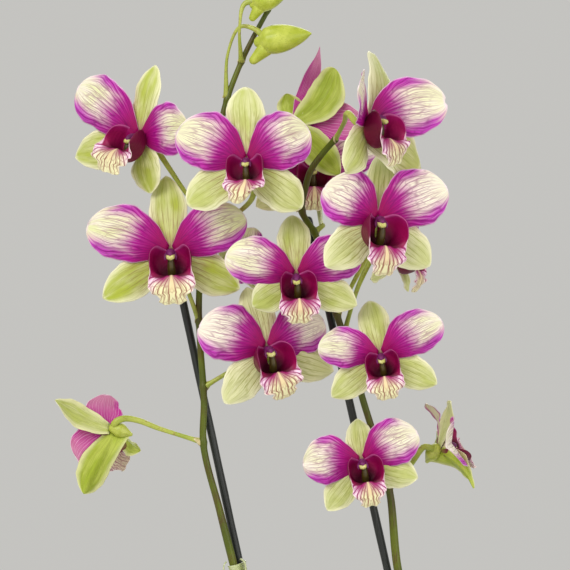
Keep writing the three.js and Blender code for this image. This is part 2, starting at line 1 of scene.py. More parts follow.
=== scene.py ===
# Looks of the potted dendrobium orchid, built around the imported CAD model.
# Sizes and places are in millimetres, in the frame of the CAD model, and MM turns them into
# Blender's metres. A flower's own plane faces -Y, with its dorsal sepal up.
import math
import random

import bpy
import numpy as np
from mathutils import Matrix, Vector


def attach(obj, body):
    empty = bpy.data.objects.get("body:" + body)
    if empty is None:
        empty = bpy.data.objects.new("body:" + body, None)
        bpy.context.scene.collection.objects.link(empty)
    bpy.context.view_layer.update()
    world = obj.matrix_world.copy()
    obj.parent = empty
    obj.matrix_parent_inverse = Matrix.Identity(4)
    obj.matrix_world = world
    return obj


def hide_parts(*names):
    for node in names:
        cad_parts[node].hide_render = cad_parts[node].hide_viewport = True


MM = 0.001
CYCLE = 6.28  # radians in one cycle of a ripple, or in a random turn, near enough
TIP = 0.9985  # the share of its length at which a tepal or leaf ends, a hair before its point
rng = random.Random(11)

# ---------------------------------------------------------------- driving dimensions

CAMERA = {"at": (-68.5, -1100, 472.5), "lens": 138.95, "sensor": 36}
LIGHTS = {
    "key": dict(at=(-900, -1500, 1500), size=1200, power=28),
    "fill": dict(at=(1200, -1200, 700), size=1300, power=10),
    "back": dict(at=(200, 1500, 1400), size=1200, power=14),
}
AIM = (-60, 0, 450)
FLOOR = dict(radius=2300, sides=96)
SKY = dict(tint="#e9e8e4", strength=0.68)

# Flowers, as in the CAD model. turn is yaw, pitch and roll in degrees, and size scales the lip
# and column. Each tepal's tip is x, z, forward lean in degrees and, where they differ from the
# usual ones, share of the full width, power of the outline, and how far its lower margin rolls
# forward. bend and crook bow the dorsal and the lateral sepals sideways, and keel and cup fold
# the lateral sepals and the petals along their middles.
# lift and swing turn the lip up and sideways, and twist turns its mid-lobe as a clock's hand
# turns, in degrees. spread widens the mid-lobe, and fold gathers one side of it up, as a share.
# Tints run from 0 to 1: green is how lime the tepals are, and stain how much magenta the
# mid-lobe shows. With fade 1 the backs of the dorsal sepal and the petals are pale, and flush
# takes the place of fade for the petals.
FLOWERS = {
    "01": dict(
        at=(-141, -6, 548), turn=(-35, -5, -12), size=1, lift=20, swing=-11,
        spread=1.35, stain=0.4, green=0.9,
        dorsal=(-0.5, 34, -8, 0.92), petals=[(-38, 17, 9, 1.12, 0.43), (34, 8, 9, 1.04)],
        laterals=[(-40, -19, 2, 1.08), (13, -28, 9)],
        pedicel=[(-130.5, -1, 537), (-118.5, 0, 519), (-107.3, 0, 503)],
    ),
    "02": dict(
        at=(-87, -36, 534), turn=(-5, 0, 2), size=0.95, twist=-16, fold=0.6, stain=0.8, green=0.6,
        dorsal=(-0.5, 35, -8, 1.17, 0.55), petals=[(-33, 14, 7, 1.2), (31, 12, 7, 1.2)],
        laterals=[(-30, -21.5, 2, 1.12, 0.6), (26, -25, 2, 1.12, 0.6)],
        pedicel=[(-84, -18, 517), (-91, -8, 509), (-109, 0, 497)],
    ),
    "03": dict(
        at=(-125, -12, 491), turn=(0, -5, 4), size=1.1, stain=0.3, green=1,
        dorsal=(-0.5, 35, -18), petals=[(-40, 14, 8, 1.02), (38, 13, 8, 0.95)],
        laterals=[(-35.5, -23, 2, 0.97), (32.5, -23, 2)],
        pedicel=[(-123, -1.5, 487), (-117, -1.5, 470), (-111.3, 0, 454)],
    ),
    "04": dict(
        at=(-63, -30, 479), turn=(0, -12, 2), size=0.95, swing=6, stain=0.9, green=0.7,
        dorsal=(-1, 24.5, -30, 1, 0.55), petals=[(-34, 10, 8), (32, 10, 8)],
        laterals=[(-22, -17, 4), (29, -18, 4)],
        pedicel=[(-57, -16, 473), (-51, -8, 472), (-48.2, 0, 479)],
    ),
    "05": dict(
        at=(-78, -10, 443), turn=(14, -5, 12), size=1.04, lift=-5, swing=6, twist=8,
        stain=0.6, green=0,
        dorsal=(-1, 28, -22), petals=[(-31.9, 16, 6, 1.1), (31, 5, 6)],
        laterals=[(-25.7, -24.5, 2), (31.7, -21, 2)],
        pedicel=[(-88, -3, 434), (-99.2, -1, 427.5), (-109, 0, 421.5)],
    ),
    "06": dict(
        at=(-24, -44, 506), turn=(12, -5, -3), size=1.1, lift=-6, swing=10,
        spread=0.85, stain=0.9, green=0.2,
        dorsal=(7, 30, -30, 0.95), petals=[(-27.5, 12, 6), (31, 15.5, 16, 1.04)],
        laterals=[(-24, -26, 4), (28, -23, 4)],
        pedicel=[(-27.5, -26, 490), (-36, -9, 471), (-42.5, 0, 458)],
    ),
    "07": dict(
        at=(-28.5, -52, 552.5), turn=(55, 8, -5), size=1, lift=-6, swing=-5, twist=20,
        stain=0.8, green=0.6, bend=-8,
        dorsal=(19.5, 35, -5, 1.55, 0.38), petals=[(-31, 8, 28, 1), (25, 6, 48, 1.14, 0.42)],
        laterals=[(-20, -29, 0), (34.5, -20.5, 12, 1.5, 0.55)],
        pedicel=[(-38, -42, 555), (-39.5, -22, 552), (-43.3, -4.2, 545.3)],
    ),
    "08": dict(
        at=(-22, -24, 440), turn=(0, -10, 9.5), size=0.89, green=0.6,
        dorsal=(-1, 22, -34, 1.03, 0.55), petals=[(-29.5, 8, 8, 0.92), (32, 11, 8, 1.03)],
        laterals=[(-27, -19, 3), (25, -21, 3)],
        pedicel=[(-26, -10, 434), (-32, -4, 432), (-35.8, 0, 438)],
    ),
    "09": dict(
        at=(-31, -20, 388), turn=(0, -5, 8.5), size=0.93, swing=7, spread=0.84, stain=0.8, green=0.5,
        dorsal=(1, 16, -44, 0.88), petals=[(-29, 1, 4, 1.03), (29, 8, 4, 1.03)],
        laterals=[(-20.5, -24, 2, 0.93), (26, -14.5, 2)],
        pedicel=[(-31, -8, 390), (-28, -5, 396), (-23.6, 0, 396)],
    ),
    "10": dict(
        at=(-63, 6, 556), turn=(175, -5, 30), size=0.9, bend=-5,
        dorsal=(-4.5, 31.8, 4, 1.2, 0.5), petals=[(-31.5, 14.5, 10, 0.9), (10, 39.4, 16, 0.45, 1.2)],
        laterals=[(-33, -13, 10), (11, 9, 16, 0.8)],
        pedicel=[(-64, -6, 550), (-69, -3, 544), (-69, 0, 528), (-60.6, 0, 509.5)],
    ),
    "11": dict(
        at=(-157.5, 0, 401), turn=(215, -35, -50), size=0.95, lift=16, fade=1, flush=0.5, keel=6,
        dorsal=(9.8, 30.5, -10, 0.9), petals=[(-16, 8.4, -5, 0.85), (20.7, 4.9, 25, 0.8)],
        laterals=[(-2, -21, 22, 0.6), (40.3, -4.4, 10, 0.9)],
        pedicel=[(-149, -4, 406), (-142, -2, 405), (-132, 0, 401), (-110, 0, 394)],
    ),
    "12": dict(
        at=(10, 0, 393), turn=(115, 5, 41), size=0.95, lift=25, fade=1, keel=5, cup=4.5, crook=3.5,
        dorsal=(5, 25, 5, 0.55, 0.42), petals=[(-19, 18, -21, 1.05, 0.5, 4), (21, 8.4, 0, 0.25)],
        laterals=[(-26.3, -6.2, 20, 0.7, 1.3), (14, -19, 28, 0.7)],
        pedicel=[(1, 0, 391.5), (-6, 0, 382), (-15.8, 0, 371.5)],
    ),
    "13": dict(
        at=(-54.5, 38, 534), turn=(5, 0, 0), size=0.95, stain=1,
        dorsal=(0, 33, -8), petals=[(-34, 10, 8), (34, 10, 8)],
        laterals=[(-29, -21, 3), (29, -21, 3)],
        pedicel=[(-53, 47, 529), (-51, 42, 514), (-50, 20, 503), (-50, 3, 502), (-53.7, 0, 499)],
    ),
    "14": dict(
        at=(-8, 22, 492.5), turn=(70, -25, 0), size=0.9, lift=15, stain=0.6,
        dorsal=(0, 28, -5), petals=[(-28, 8, 10), (22, 4, -5, 0.8)],
        laterals=[(-22, -20, 0), (18.8, -22.6, 20, 0.4)],
        pedicel=[(-19, 23, 493), (-30, 14, 475), (-36, 6, 458), (-39, 0, 447.5)],
    ),
    "15": dict(
        at=(-88.5, 16, 484), turn=(-10, -10, 66), size=0.65,
        dorsal=(-0.6, 15.4, 0), petals=[(-13, 3, -30, 0.8), (17.4, 4.1, 0)],
        laterals=[(-9, -14, 12), (14, -12, 12)],
        pedicel=[(-95, 22, 486), (-104, 12, 483), (-111, 0, 476)],
    ),
}

# The two kinds of tepal. outline is the half-width as a share of the widest, divided by
# (1 - t) ** power, with t from base to tip, and bow is how far the middle bulges forward.
TEPALS = {
    "sepal": dict(
        power=0.7, bow=1.0, thickness=0.7,
        outline=[(0, 0.38), (0.1, 0.58), (0.2, 0.87), (0.3, 1.15), (0.45, 1.51), (0.57, 1.79),
                 (0.73, 2.2), (0.86, 2.42), (1, 2.5)],
    ),
    "petal": dict(
        power=0.5, bow=1.6, thickness=0.6,
        outline=[(0, 0.16), (0.07, 0.27), (0.19, 0.6), (0.34, 1.0), (0.485, 1.35), (0.6, 1.58),
                 (0.775, 1.86), (0.86, 1.98), (1, 2.05)],
    ),
}
# The whorls of a full-size flower: the greatest width of a tepal, its base's height on the
# flower's upright middle line, arch, which is how far its own middle line bows up, wave, which
# is how much its margins ripple, and setback, which is how far it lies behind the petals.
WHORLS = {
    "dorsal": dict(kind="sepal", width=17.4, base=-3, arch=0, wave=0.7, setback=1),
    "lateral": dict(kind="sepal", width=18.6, base=-4.5, arch=0.6, wave=0.7, setback=1),
    "petal": dict(kind="petal", width=25.4, base=-2.6, arch=2.1, wave=1.1, setback=0),
}
TEPAL = dict(
    start=0.05,  # the share of its length that a tepal leaves out at its base
    lean_power=1.6,  # of the distance along it that the forward lean grows with
    recurve=1.5,  # how far its tip turns back
    grid=(36, 26),
)
CHIN = (0, 5.8, -12.8)  # where the lateral sepals' lower margins meet behind the lip

# The lip, by share of its length: the midrib's y and z, the edge's distance from the middle and
# height over the midrib, how far the side wall bulges past the edge, and the edge's forward lean
# in degrees. It turns about its hinge.
LIP = dict(
    y=[(0, -0.4), (0.08, -1.4), (0.2, -4.6), (0.32, -8.6), (0.42, -11.4), (0.52, -13.8), (0.68, -14.6),
       (0.84, -13.8), (1, -12.2)],
    z=[(0, -10), (0.08, -14), (0.2, -15.4), (0.32, -13.8), (0.42, -12.1), (0.52, -14.3), (0.68, -18.4),
       (0.84, -22), (1, -24.6)],
    edge=[(0, 0.4), (0.04, 2.2), (0.1, 3.8), (0.2, 6.2), (0.3, 8.7), (0.4, 9.2), (0.44, 9.2),
          (0.48, 10.2), (0.56, 10.4), (0.66, 9.9), (0.71, 9), (0.745, 6.8), (0.79, 6.1),
          (0.87, 6.2), (0.94, 5.9), (1, 4.8)],
    height=[(0, 8), (0.04, 11.5), (0.1, 15), (0.2, 17.2), (0.3, 14.2), (0.4, 6.8), (0.46, 2.6),
            (0.52, 0.9), (0.64, 0.4), (0.78, -0.6), (1, -1.2)],
    bulge=[(0, 0.4), (0.04, 5), (0.1, 8.5), (0.2, 6.9), (0.3, 2.8), (0.4, 0.8), (0.46, 0.2),
           (0.55, -1), (1, -1)],
    lean=[(0, 0), (0.1, 3), (0.2, 8), (0.3, 15), (0.4, 32), (0.47, 48), (0.56, 68), (0.66, 84),
          (1, 112)],
    thickness=0.6, hinge=(0, -2, -6), grid=(64, 48),
)

# The heart of a flower, rod by rod: the hub that narrows into the chin, the column's hood, the
# anther cap in three rods, the two teeth beside it, and the foot, which turns with the lip. Each
# has the points of its axis, its radius along it, its sides and material. A rod that starts
# beside the middle has a twin opposite.
HEART = [
    dict(axis=((0, 3, -3.4), (0, 4, -6.6), (0, 5.4, -12)),
         radii=((0, 3.2), (0.35, 4), (0.7, 2.6), (1, 1.1)), sides=24, paint="hub"),
    dict(axis=((0, 1.5, -2.6), (0, -3, -2.3), (0, -6, -2.1), (0, -7.8, -2.5)),
         radii=((0, 1.4), (0.4, 2), (0.8, 2.1), (1, 1.7)), sides=24, paint="column"),
    dict(axis=((0.8, -7.5, -3.3), (0.8, -8.9, -3.8)),
         radii=((0, 1.25), (1, 1.1)), sides=16, paint="cap"),
    dict(axis=((0, -7.4, -3.5), (0, -8.8, -4)),
         radii=((0, 1.4), (1, 1.2)), sides=16, paint="cap"),
    dict(axis=((1.6, -5.6, -2.4), (2.4, -7.2, -3.7), (2.5, -7.8, -4.8)),
         radii=((0, 1), (0.6, 0.75), (1, 0.3)), sides=12, paint="column"),
    dict(axis=((0, -6.6, -5), (0, -6.4, -8), (0, -5, -11.6)),
         radii=((0, 1.4), (0.5, 1.8), (1, 1.9)), sides=16, paint="foot", with_lip=True),
]

# Buds: base and apex, widest radius, tip of the chin, and the pedicel down to the stem.
# BUD_OUTLINE is the radius as a share of the widest.
BUD_OUTLINE = [
    (0, 0.42), (0.08, 0.8), (0.22, 0.98), (0.38, 1), (0.6, 0.84), (0.8, 0.56), (0.93, 0.3), (1, 0.1),
]
BUDS = {
    "1": dict(
        base=(-80, -10, 593), apex=(-55, -12, 597), radius=7.2, chin=(-84, -10, 584),
        pedicel=[(-84, -6, 600), (-91, -4, 601), (-97, -2, 588), (-98, 0, 566)],
    ),
    "2": dict(
        base=(-83, -9, 612), apex=(-65, -14, 620), radius=6, chin=(-84.5, -10, 605),
        pedicel=[(-88.5, -9, 612), (-91, -9.5, 600), (-90.4, -0.6, 584)],
    ),
    "3": dict(
        base=(-66.5, 7, 624), apex=(-54, 9, 627), radius=4.4, chin=(-67, 7, 618.5),
        pedicel=[(-71, 8, 626), (-76, 6, 618), (-77, 0, 610)],
    ),
    "4": dict(
        base=(-60, -1, 639.5), apex=(-51.5, -2, 642), radius=3.2, chin=(-60, -1, 635.5),
        pedicel=[(-63, -1, 640), (-64.5, 0, 636), (-64, 0, 633)],
    ),
}

# Canes: the axis from the pot up, as x, y, z and radius. Above SPIKE_FROM a cane is the bare
# stem of a spray, which slims by SPIKE_SLIM between two heights.
SPIKE_FROM = 292
SPIKE_SLIM = dict(by=0.14, low=340, high=380)
INTERNODE = 24
FIRST_SHEATH = 3  # internodes without a sheath, from the cane's foot in the pot
CANES = {
    "left": [
        (-41, -3, 62, 3.4), (-43, -3.5, 88, 4.2), (-49, -5.5, 125, 6), (-57, -6, 170, 7),
        (-66, -6, 215, 6.8), (-75, -5, 255, 5.6), (-81, -3, 283, 3.6), (-85.5, -1, 300, 2.4),
        (-93, 0, 328, 2.1), (-101.2, 0, 360, 2), (-109.2, 0, 392, 2), (-109, 0, 415, 2),
        (-111, 0, 445, 1.9), (-111.5, 0, 465, 1.9), (-109.5, 0, 495, 1.8), (-105, 0, 525, 1.7),
        (-99, 0, 560, 1.7), (-91, 0, 582.5, 1.6), (-84.5, 0, 596, 1.5), (-77, 0, 610, 1.4),
        (-71, 0, 622, 1.2), (-64, 0, 633, 1.1),
    ],
    "right": [
        (34, -3, 58, 3.4), (34, -4, 88, 4.2), (31, -6, 120, 6), (24, -6.5, 165, 7),
        (15, -6.5, 210, 6.8), (7, -5, 250, 5.6), (1, -2.5, 278, 3.6), (-3.5, -1, 298, 2.5),
        (-12, 0, 330, 2.1), (-16, 0, 368, 2.1), (-20.5, 0, 386, 2), (-29.5, 0, 415, 2),
        (-35, 0, 435, 2), (-42.5, 0, 457.5, 2), (-48.5, 0, 480, 2), (-53, 0, 497, 1.9),
        (-60, 0, 509.5, 1.9), (-58.5, 0, 520, 1.9), (-55.5, 0, 530, 1.9), (-49, -1, 539, 1.8),
        (-43.5, -4, 545, 1.7),
    ],
    "front": [
        (6, -24, 40, 3.6), (8, -25, 90, 4.4), (13, -29, 125, 6.6), (19, -34, 165, 7.2),
        (24, -38, 200, 6.2), (28, -41, 226, 4),
    ],
    "back": [
        (-9, 23, 40, 3.4), (-10, 24, 90, 4.2), (-14, 28, 120, 6.2), (-20, 34, 155, 6.8),
        (-26, 39, 185, 5.6), (-30, 42, 206, 3.8),
    ],
}
# Stakes: the lower and the upper end.
STAKES = {"left": [(-31.5, 5, 56), (-126, 5, 493)], "right": [(43, 5, 63.5), (-56.7, 5, 505)]}
STAKE_RADIUS = 2
PAPER = {"sheath": 0.22, "bract": 0.3}  # thickness of a cane's torn sheaths and a stalk's bract

# Leaves: where each leaves its cane, heading in plan, length, width, and climb of base and tip,
# in degrees. LEAF's outline and power are as in TEPALS.
LEAVES = {
    "left_1": dict(start=(-72, -5.3, 240), heading=195, length=128, width=31, climb=(42, -32)),
    "left_2": dict(start=(-61.5, -6, 192), heading=305, length=106, width=29, climb=(60, -8)),
    "left_3": dict(start=(-53, -5.8, 148), heading=215, length=104, width=28, climb=(36, -38)),
    "right_1": dict(start=(10, -5.6, 236), heading=8, length=130, width=32, climb=(40, -30)),
    "right_2": dict(start=(20, -6.5, 186), heading=184, length=92, width=27, climb=(58, 16)),
    "right_3": dict(start=(28, -6.3, 140), heading=338, length=112, width=30, climb=(38, -36)),
    "front_1": dict(start=(25.5, -39, 208), heading=250, length=118, width=31, climb=(40, -38)),
    "front_2": dict(start=(21, -35.6, 180), heading=318, length=122, width=32, climb=(44, -34)),
    "back_1": dict(start=(-28, 40.5, 194), heading=118, length=120, width=31, climb=(44, -34)),
    "back_2": dict(start=(-22, 35.6, 165), heading=62, length=110, width=29, climb=(42, -34)),
}
LEAF = dict(
    thickness=1.1, keel=2.4, power=0.5, grid=(44, 20),
    outline=[(0, 0.36), (0.12, 0.66), (0.4, 1.29), (0.7, 1.73), (0.88, 1.8), (1, 1.75)],
)

# The pot: a body that widens up to a shoulder, and a rim over it.
POT = dict(
    height=105, base=42, body=54.5, rim=60, rim_height=17, wall=3.2, floor=4, corner=1.6, sides=128,
)
MEDIUM_TOP = 91
CHIPS = dict(count=330, sides=7, sizes=(3.2, 7.5), clear_of_canes=6)

# Clips: the sleeve round stem and stake, and the length, curl, width and taper of its wings.
CLIP = dict(
    heights={"left": 324, "right": 312}, height=9, wall=0.9, gap=0.3,
    wing=8.5, curl=165, width=6, taper=0.4, wing_thickness=0.55,
)

# ---------------------------------------------------------------- curves and tables


def table(rows, t):
    """The value at t of a table of (t, value) rows, along a smooth curve through them."""
    at = np.array([row[0] for row in rows], float)
    value = np.array([row[1] for row in rows], float)
    slope = np.gradient(value, at)
    t = np.clip(np.asarray(t, float), at[0], at[-1])
    i = np.clip(np.searchsorted(at, t, "right") - 1, 0, len(at) - 2)
    span = at[i + 1] - at[i]
    u = (t - at[i]) / span
    return (
        (2 * u**3 - 3 * u**2 + 1) * value[i]
        + (u**3 - 2 * u**2 + u) * span * slope[i]
        + (3 * u**2 - 2 * u**3) * value[i + 1]
        + (u**3 - u**2) * span * slope[i + 1]
    )


def distances(points):
    """How far along the line through the points each of them lies."""
    return np.concatenate([[0], np.cumsum(np.linalg.norm(np.diff(points, axis=0), axis=1))])


def route(points, spacing):
    """Points a given distance apart along a smooth curve through the given points."""
    points = np.array(points, float)
    chord = np.linalg.norm(np.diff(points[:, :3], axis=0), axis=1)
    at = np.concatenate([[0], np.cumsum(np.sqrt(chord))])
    fine = np.linspace(0, at[-1], 40 * len(points))
    curve = np.stack([table(list(zip(at, column)), fine) for column in points.T], 1)
    length = distances(curve[:, :3])
    steps = max(3, int(round(length[-1] / spacing)))
    even = np.linspace(0, length[-1], steps + 1)
    return np.stack([np.interp(even, length, column) for column in curve.T], 1)


def smooth(low, high, x):
    """0 below low, 1 above high, with a smooth step between."""
    u = np.clip((np.asarray(x, float) - low) / (high - low), 0, 1)
    return u * u * (3 - 2 * u)


def unit(v):
    v = np.asarray(v, float)
    return v / np.linalg.norm(v)


def sheet(rows, columns, low=-1):
    """A grid over a sheet: the share along it, from 0 to 1, and across it, from low to 1."""
    return np.meshgrid(np.linspace(0, 1, rows), np.linspace(low, 1, columns), indexing="ij")


# ---------------------------------------------------------------- building pieces


class Piece:
    """Gathers the patches of one piece. Each vertex keeps two vectors for the materials:
    place, which is where it lies on its blade or tube, and mood, its patch's own tints."""

    def __init__(self):
        self.points = []
        self.faces = []
        self.place = []
        self.mood = []
        self.slots = []
        self.smooths = []
        self.materials = []
        self.count = 0

    def add(self, points, faces, place, material, smooth_shading=True, green=None, stain=None):
        if material not in self.materials:
            self.materials.append(material)
        self.points.append(np.asarray(points, float).reshape(-1, 3))
        tint = [rng.random(), rng.random(), rng.random()]
        if green is not None:
            tint[1] = green
        if stain is not None:
            tint[2] = stain
        self.mood.append(np.tile(tint, (len(self.points[-1]), 1)))
        self.place.append(np.asarray(place, float).reshape(-1, 3))
        self.faces += [tuple(self.count + i for i in face) for face in faces]
        self.slots += [self.materials.index(material)] * len(faces)
        self.smooths += [smooth_shading] * len(faces)
        self.count += len(self.points[-1])

    def finish(self, name, slot, nodes=(), matrix=None):
        points = np.concatenate(self.points)
        if matrix is not None:
            turned = np.array(matrix, float)
            points = points @ turned[:3, :3].T + turned[:3, 3]
        mesh = bpy.data.meshes.new(name)
        mesh.from_pydata((points * MM).tolist(), [], self.faces)
        mesh.polygons.foreach_set("material_index", self.slots)
        mesh.polygons.foreach_set("use_smooth", self.smooths)
        for key, values in (("place", self.place), ("mood", self.mood)):
            layer = mesh.attributes.new(key, "FLOAT_VECTOR", "POINT")
            layer.data.foreach_set("vector", np.concatenate(values).astype(np.float32).ravel())
        for material in self.materials:
            mesh.materials.append(material)
        mesh.validate()
        mesh.update()
        made = bpy.data.objects.new(name, mesh)
        bpy.context.scene.collection.objects.link(made)
        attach(made, "root")
        if nodes:
            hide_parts(*nodes)
        return made


def grid_faces(rows, columns, closed=False):
    """Quads of a grid of rows x columns vertices, whose last column may join the first."""
    faces = []
    for i in range(rows - 1):
        row = i * columns
        for j in range(columns if closed else columns - 1):
            k = (j + 1) % columns
            faces.append((row + j, row + k, row + columns + k, row + columns + j))
    return faces


def tube_faces(rings, sides):
    """Faces of a tube, closed by fans to the two points that come after those of its rings."""
    faces = grid_faces(rings, sides, closed=True)
    low, high = rings * sides, rings * sides + 1
    last = (rings - 1) * sides
    faces += [(low, (j + 1) % sides, j) for j in range(sides)]
    faces += [(high, last + j, last + (j + 1) % sides) for j in range(sides)]
    return faces


def shell(surface, t, s, thickness):
    """A thin closed sheet. surface is the grid of its middle, and thickness the grid of its
    thickness. place holds t, s and the side: 1 on the front and -1 on the back."""
    along = np.gradient(surface, axis=0)
    across = np.gradient(surface, axis=1)
    normal = np.cross(along, across)
    normal /= np.maximum(np.linalg.norm(normal, axis=2, keepdims=True), 1e-9)
    rows, columns = t.shape
    half = normal * thickness[..., None] / 2
    points = np.concatenate([(surface + half).reshape(-1, 3), (surface - half).reshape(-1, 3)])
    size = rows * columns
    back = [tuple(size + i for i in face) for face in grid_faces(rows, columns)]
    front = [tuple(i - size for i in reversed(face)) for face in back]
    edge = list(range(columns))
    edge += [i * columns + columns - 1 for i in range(1, rows)]
    edge += [(rows - 1) * columns + j for j in range(columns - 2, -1, -1)]
    edge += [i * columns for i in range(rows - 2, 0, -1)]
    rim = [(a, b, b + size, a + size) for a, b in zip(edge, edge[1:] + edge[:1])]
    flat = np.stack([t.ravel(), s.ravel(), np.ones(size)], 1)
    place = np.concatenate([flat, flat * (1, 1, -1)])
    return points, front + back + rim, place


def sweep(path, radii, sides, profile=None):
    """A closed tube along path. place holds the distance along in mm, the angle as a share
    of a turn, and the share of the length. profile(angle) scales the radius."""
    path = np.asarray(path, float)
    tangent = np.gradient(path, axis=0)
    tangent /= np.linalg.norm(tangent, axis=1, keepdims=True)
    side = np.cross(tangent[0], (0.12, 1, 0.05))
    angle = np.linspace(0, 2 * math.pi, sides, endpoint=False)
    scale = np.ones(sides) if profile is None else profile(angle)
    travelled = distances(path)
    rings = []
    for point, direction, radius in zip(path, tangent, radii):
        side = unit(side - direction * (side @ direction))
        other = np.cross(direction, side)
        around = np.outer(np.cos(angle) * scale, side) + np.outer(np.sin(angle) * scale, other)
        rings.append(point + radius * around)
    points = np.concatenate(rings + [path[:1], path[-1:]])
    place = [(far, a / (2 * math.pi), far / travelled[-1]) for far in travelled for a in angle]
    place += [(0, 0, 0), (travelled[-1], 0, 1)]
    return points, tube_faces(len(path), sides), np.array(place)


def domed(path, radii, at_start=True):
    """Adds rings to a tube's path so that its end is round, and its start unless told not to."""
    path, radii = np.asarray(path, float), np.asarray(radii, float)
    cap = [(math.sin(math.radians(a)), math.cos(math.radians(a))) for a in (80, 55, 28)]
    if at_start:
        back = unit(path[0] - path[1]) * radii[0]
        path = np.concatenate([[path[0] + back * h for h, _ in cap], path])
        radii = np.concatenate([[radii[0] * r for _, r in cap], radii])
    ahead = unit(path[-1] - path[-2]) * radii[-1]
    path = np.concatenate([path, [path[-1] + ahead * h for h, _ in reversed(cap)]])
    radii = np.concatenate([radii, [radii[-1] * r for _, r in reversed(cap)]])
    return path, radii


def lathe(profile, sides):
    """A solid of revolution about +Z from (radius, height) points, closed on the axis."""
    angle = np.linspace(0, 2 * math.pi, sides, endpoint=False)
    rings = [(r, z) for r, z in profile if r > 0]
    points = [(r * math.cos(a), r * math.sin(a), z) for r, z in rings for a in angle]
    points += [(0, 0, profile[0][1]), (0, 0, profile[-1][1])]
    return np.array(points), tube_faces(len(rings), sides), np.zeros((len(points), 3))


# ---------------------------------------------------------------- materials


def colour(code):
    """A linear colour from an sRGB hex code."""
    parts = [int(code[i:i + 2], 16) / 255 for i in (1, 3, 5)]
    return tuple(c / 12.92 if c <= 0.04045 else ((c + 0.055) / 1.055) ** 2.4 for c in parts) + (1.0,)


class Value:
    """A node's output, which can be added to, subtracted from, multiplied and divided."""

    def __init__(self, paint, socket):
        self.paint = paint
        self.socket = socket

    def __add__(self, other):
        return self.paint.math("ADD", self, other)

    def __sub__(self, other):
        return self.paint.math("SUBTRACT", self, other)

    def __rsub__(self, other):
        return self.paint.math("SUBTRACT", other, self)

    def __mul__(self, other):
        return self.paint.math("MULTIPLY", self, other)

    def __truediv__(self, other):
        return self.paint.math("DIVIDE", self, other)

    def __abs__(self):
        return self.paint.math("ABSOLUTE", self)


class Paint:
    """Builds the nodes of one material. Their inputs are values, numbers, vectors or the hex
    codes of colours."""

    def __init__(self, name, roughness, **settings):
        self.material = bpy.data.materials.new(name)
        self.material.use_nodes = True
        self.tree = self.material.node_tree
        self.shader = self.tree.nodes["Principled BSDF"]
        self.shader.inputs["Roughness"].default_value = roughness
        for key, value in settings.items():
            self.shader.inputs[key.replace("_", " ")].default_value = value

    def put(self, socket, value):
        if isinstance(value, Value):
            self.tree.links.new(value.socket, socket)
        else:
            socket.default_value = colour(value) if isinstance(value, str) else value

    def node(self, kind, inputs=(), output=0, **settings):
        """The value that a new node gives."""
        made = self.tree.nodes.new("ShaderNode" + kind)
        for key, value in settings.items():
            setattr(made, key, value)
        for key, value in dict(inputs).items():
            self.put(made.inputs[key], value)
        return Value(self, made.outputs[output])

    def split(self, vector):
        return [self.node("SeparateXYZ", {0: vector}, k) for k in range(3)]

    def attribute(self, name):
        return self.split(self.node("Attribute", output="Vector", attribute_name=name))

    def math(self, operation, *values):
        return self.node("Math", enumerate(values), operation=operation)

    def most(self, a, b):
        return self.math("MAXIMUM", a, b)

    def step(self, x, low, high, start=0, end=1):
        """start below low and end above high, with a smooth step between."""
        return self.node("MapRange", {
            "Value": x, "From Min": low, "From Max": high, "To Min": start, "To Max": end,
        }, interpolation_type="SMOOTHSTEP")

    def fall(self, x, low, high):
        """1 below low and 0 above high, with a smooth step between."""
        return self.step(x, low, high, 1, 0)

    def vector(self, x, y, z):
        return self.node("CombineXYZ", {0: x, 1: y, 2: z})

    def noise(self, vector, scale, detail=2, roughness=0.5):
        return self.node("TexNoise", {
            "Vector": vector, "Scale": scale, "Detail": detail, "Roughness": roughness,
        })

    def cells(self, vector):
        """The distance to the nearest wall of a net of cells, one to each unit."""
        return self.node(
            "TexVoronoi", {"Vector": vector, "Scale": 1, "Randomness": 1}, "Distance",
            feature="DISTANCE_TO_EDGE", voronoi_dimensions="3D",
        )

    def mix(self, share, a, b):
        return self.node("Mix", {0: share, 6: a, 7: b}, 2, data_type="RGBA")

    def sided(self, side, back, front):
        """front on a sheet's front and back on its back."""
        return self.mix(self.step(side, -0.3, 0.3), back, front)

    def scaled(self, vector, by):
        return self.node("VectorMath", {0: vector, 1: by}, operation="MULTIPLY")

    def position(self):
        """The place on the object, in mm."""
        return self.scaled(self.node("TexCoord", output="Object"), (1 / MM,) * 3)

    def finish(self, base, bump=None, strength=0.3, distance=0.0003):
        self.put(self.shader.inputs["Base Color"], base)
        if bump is not None:
            relief = {"Height": bump, "Strength": strength, "Distance": distance}
            self.put(self.shader.inputs["Normal"], self.node("Bump", relief))
        return self.material


def veins(p, t, s, seed, spread, nets):
    """Nets of veins that fan out from a blade's base, as the distance from the nearest vein,
    with the place across the fan and the shift that sets one blade's veins apart."""
    fan = s / (t * spread[1] + spread[0])
    shift = seed * 37
    sway = p.noise(p.vector(t * 3, fan * 4, shift), 1)
    fan = fan + (sway - 0.5) * 0.1
    found = []
    for along, across in nets:
        found.append(p.cells(p.vector(t * along, fan * across, shift)))
    return found, fan, shift


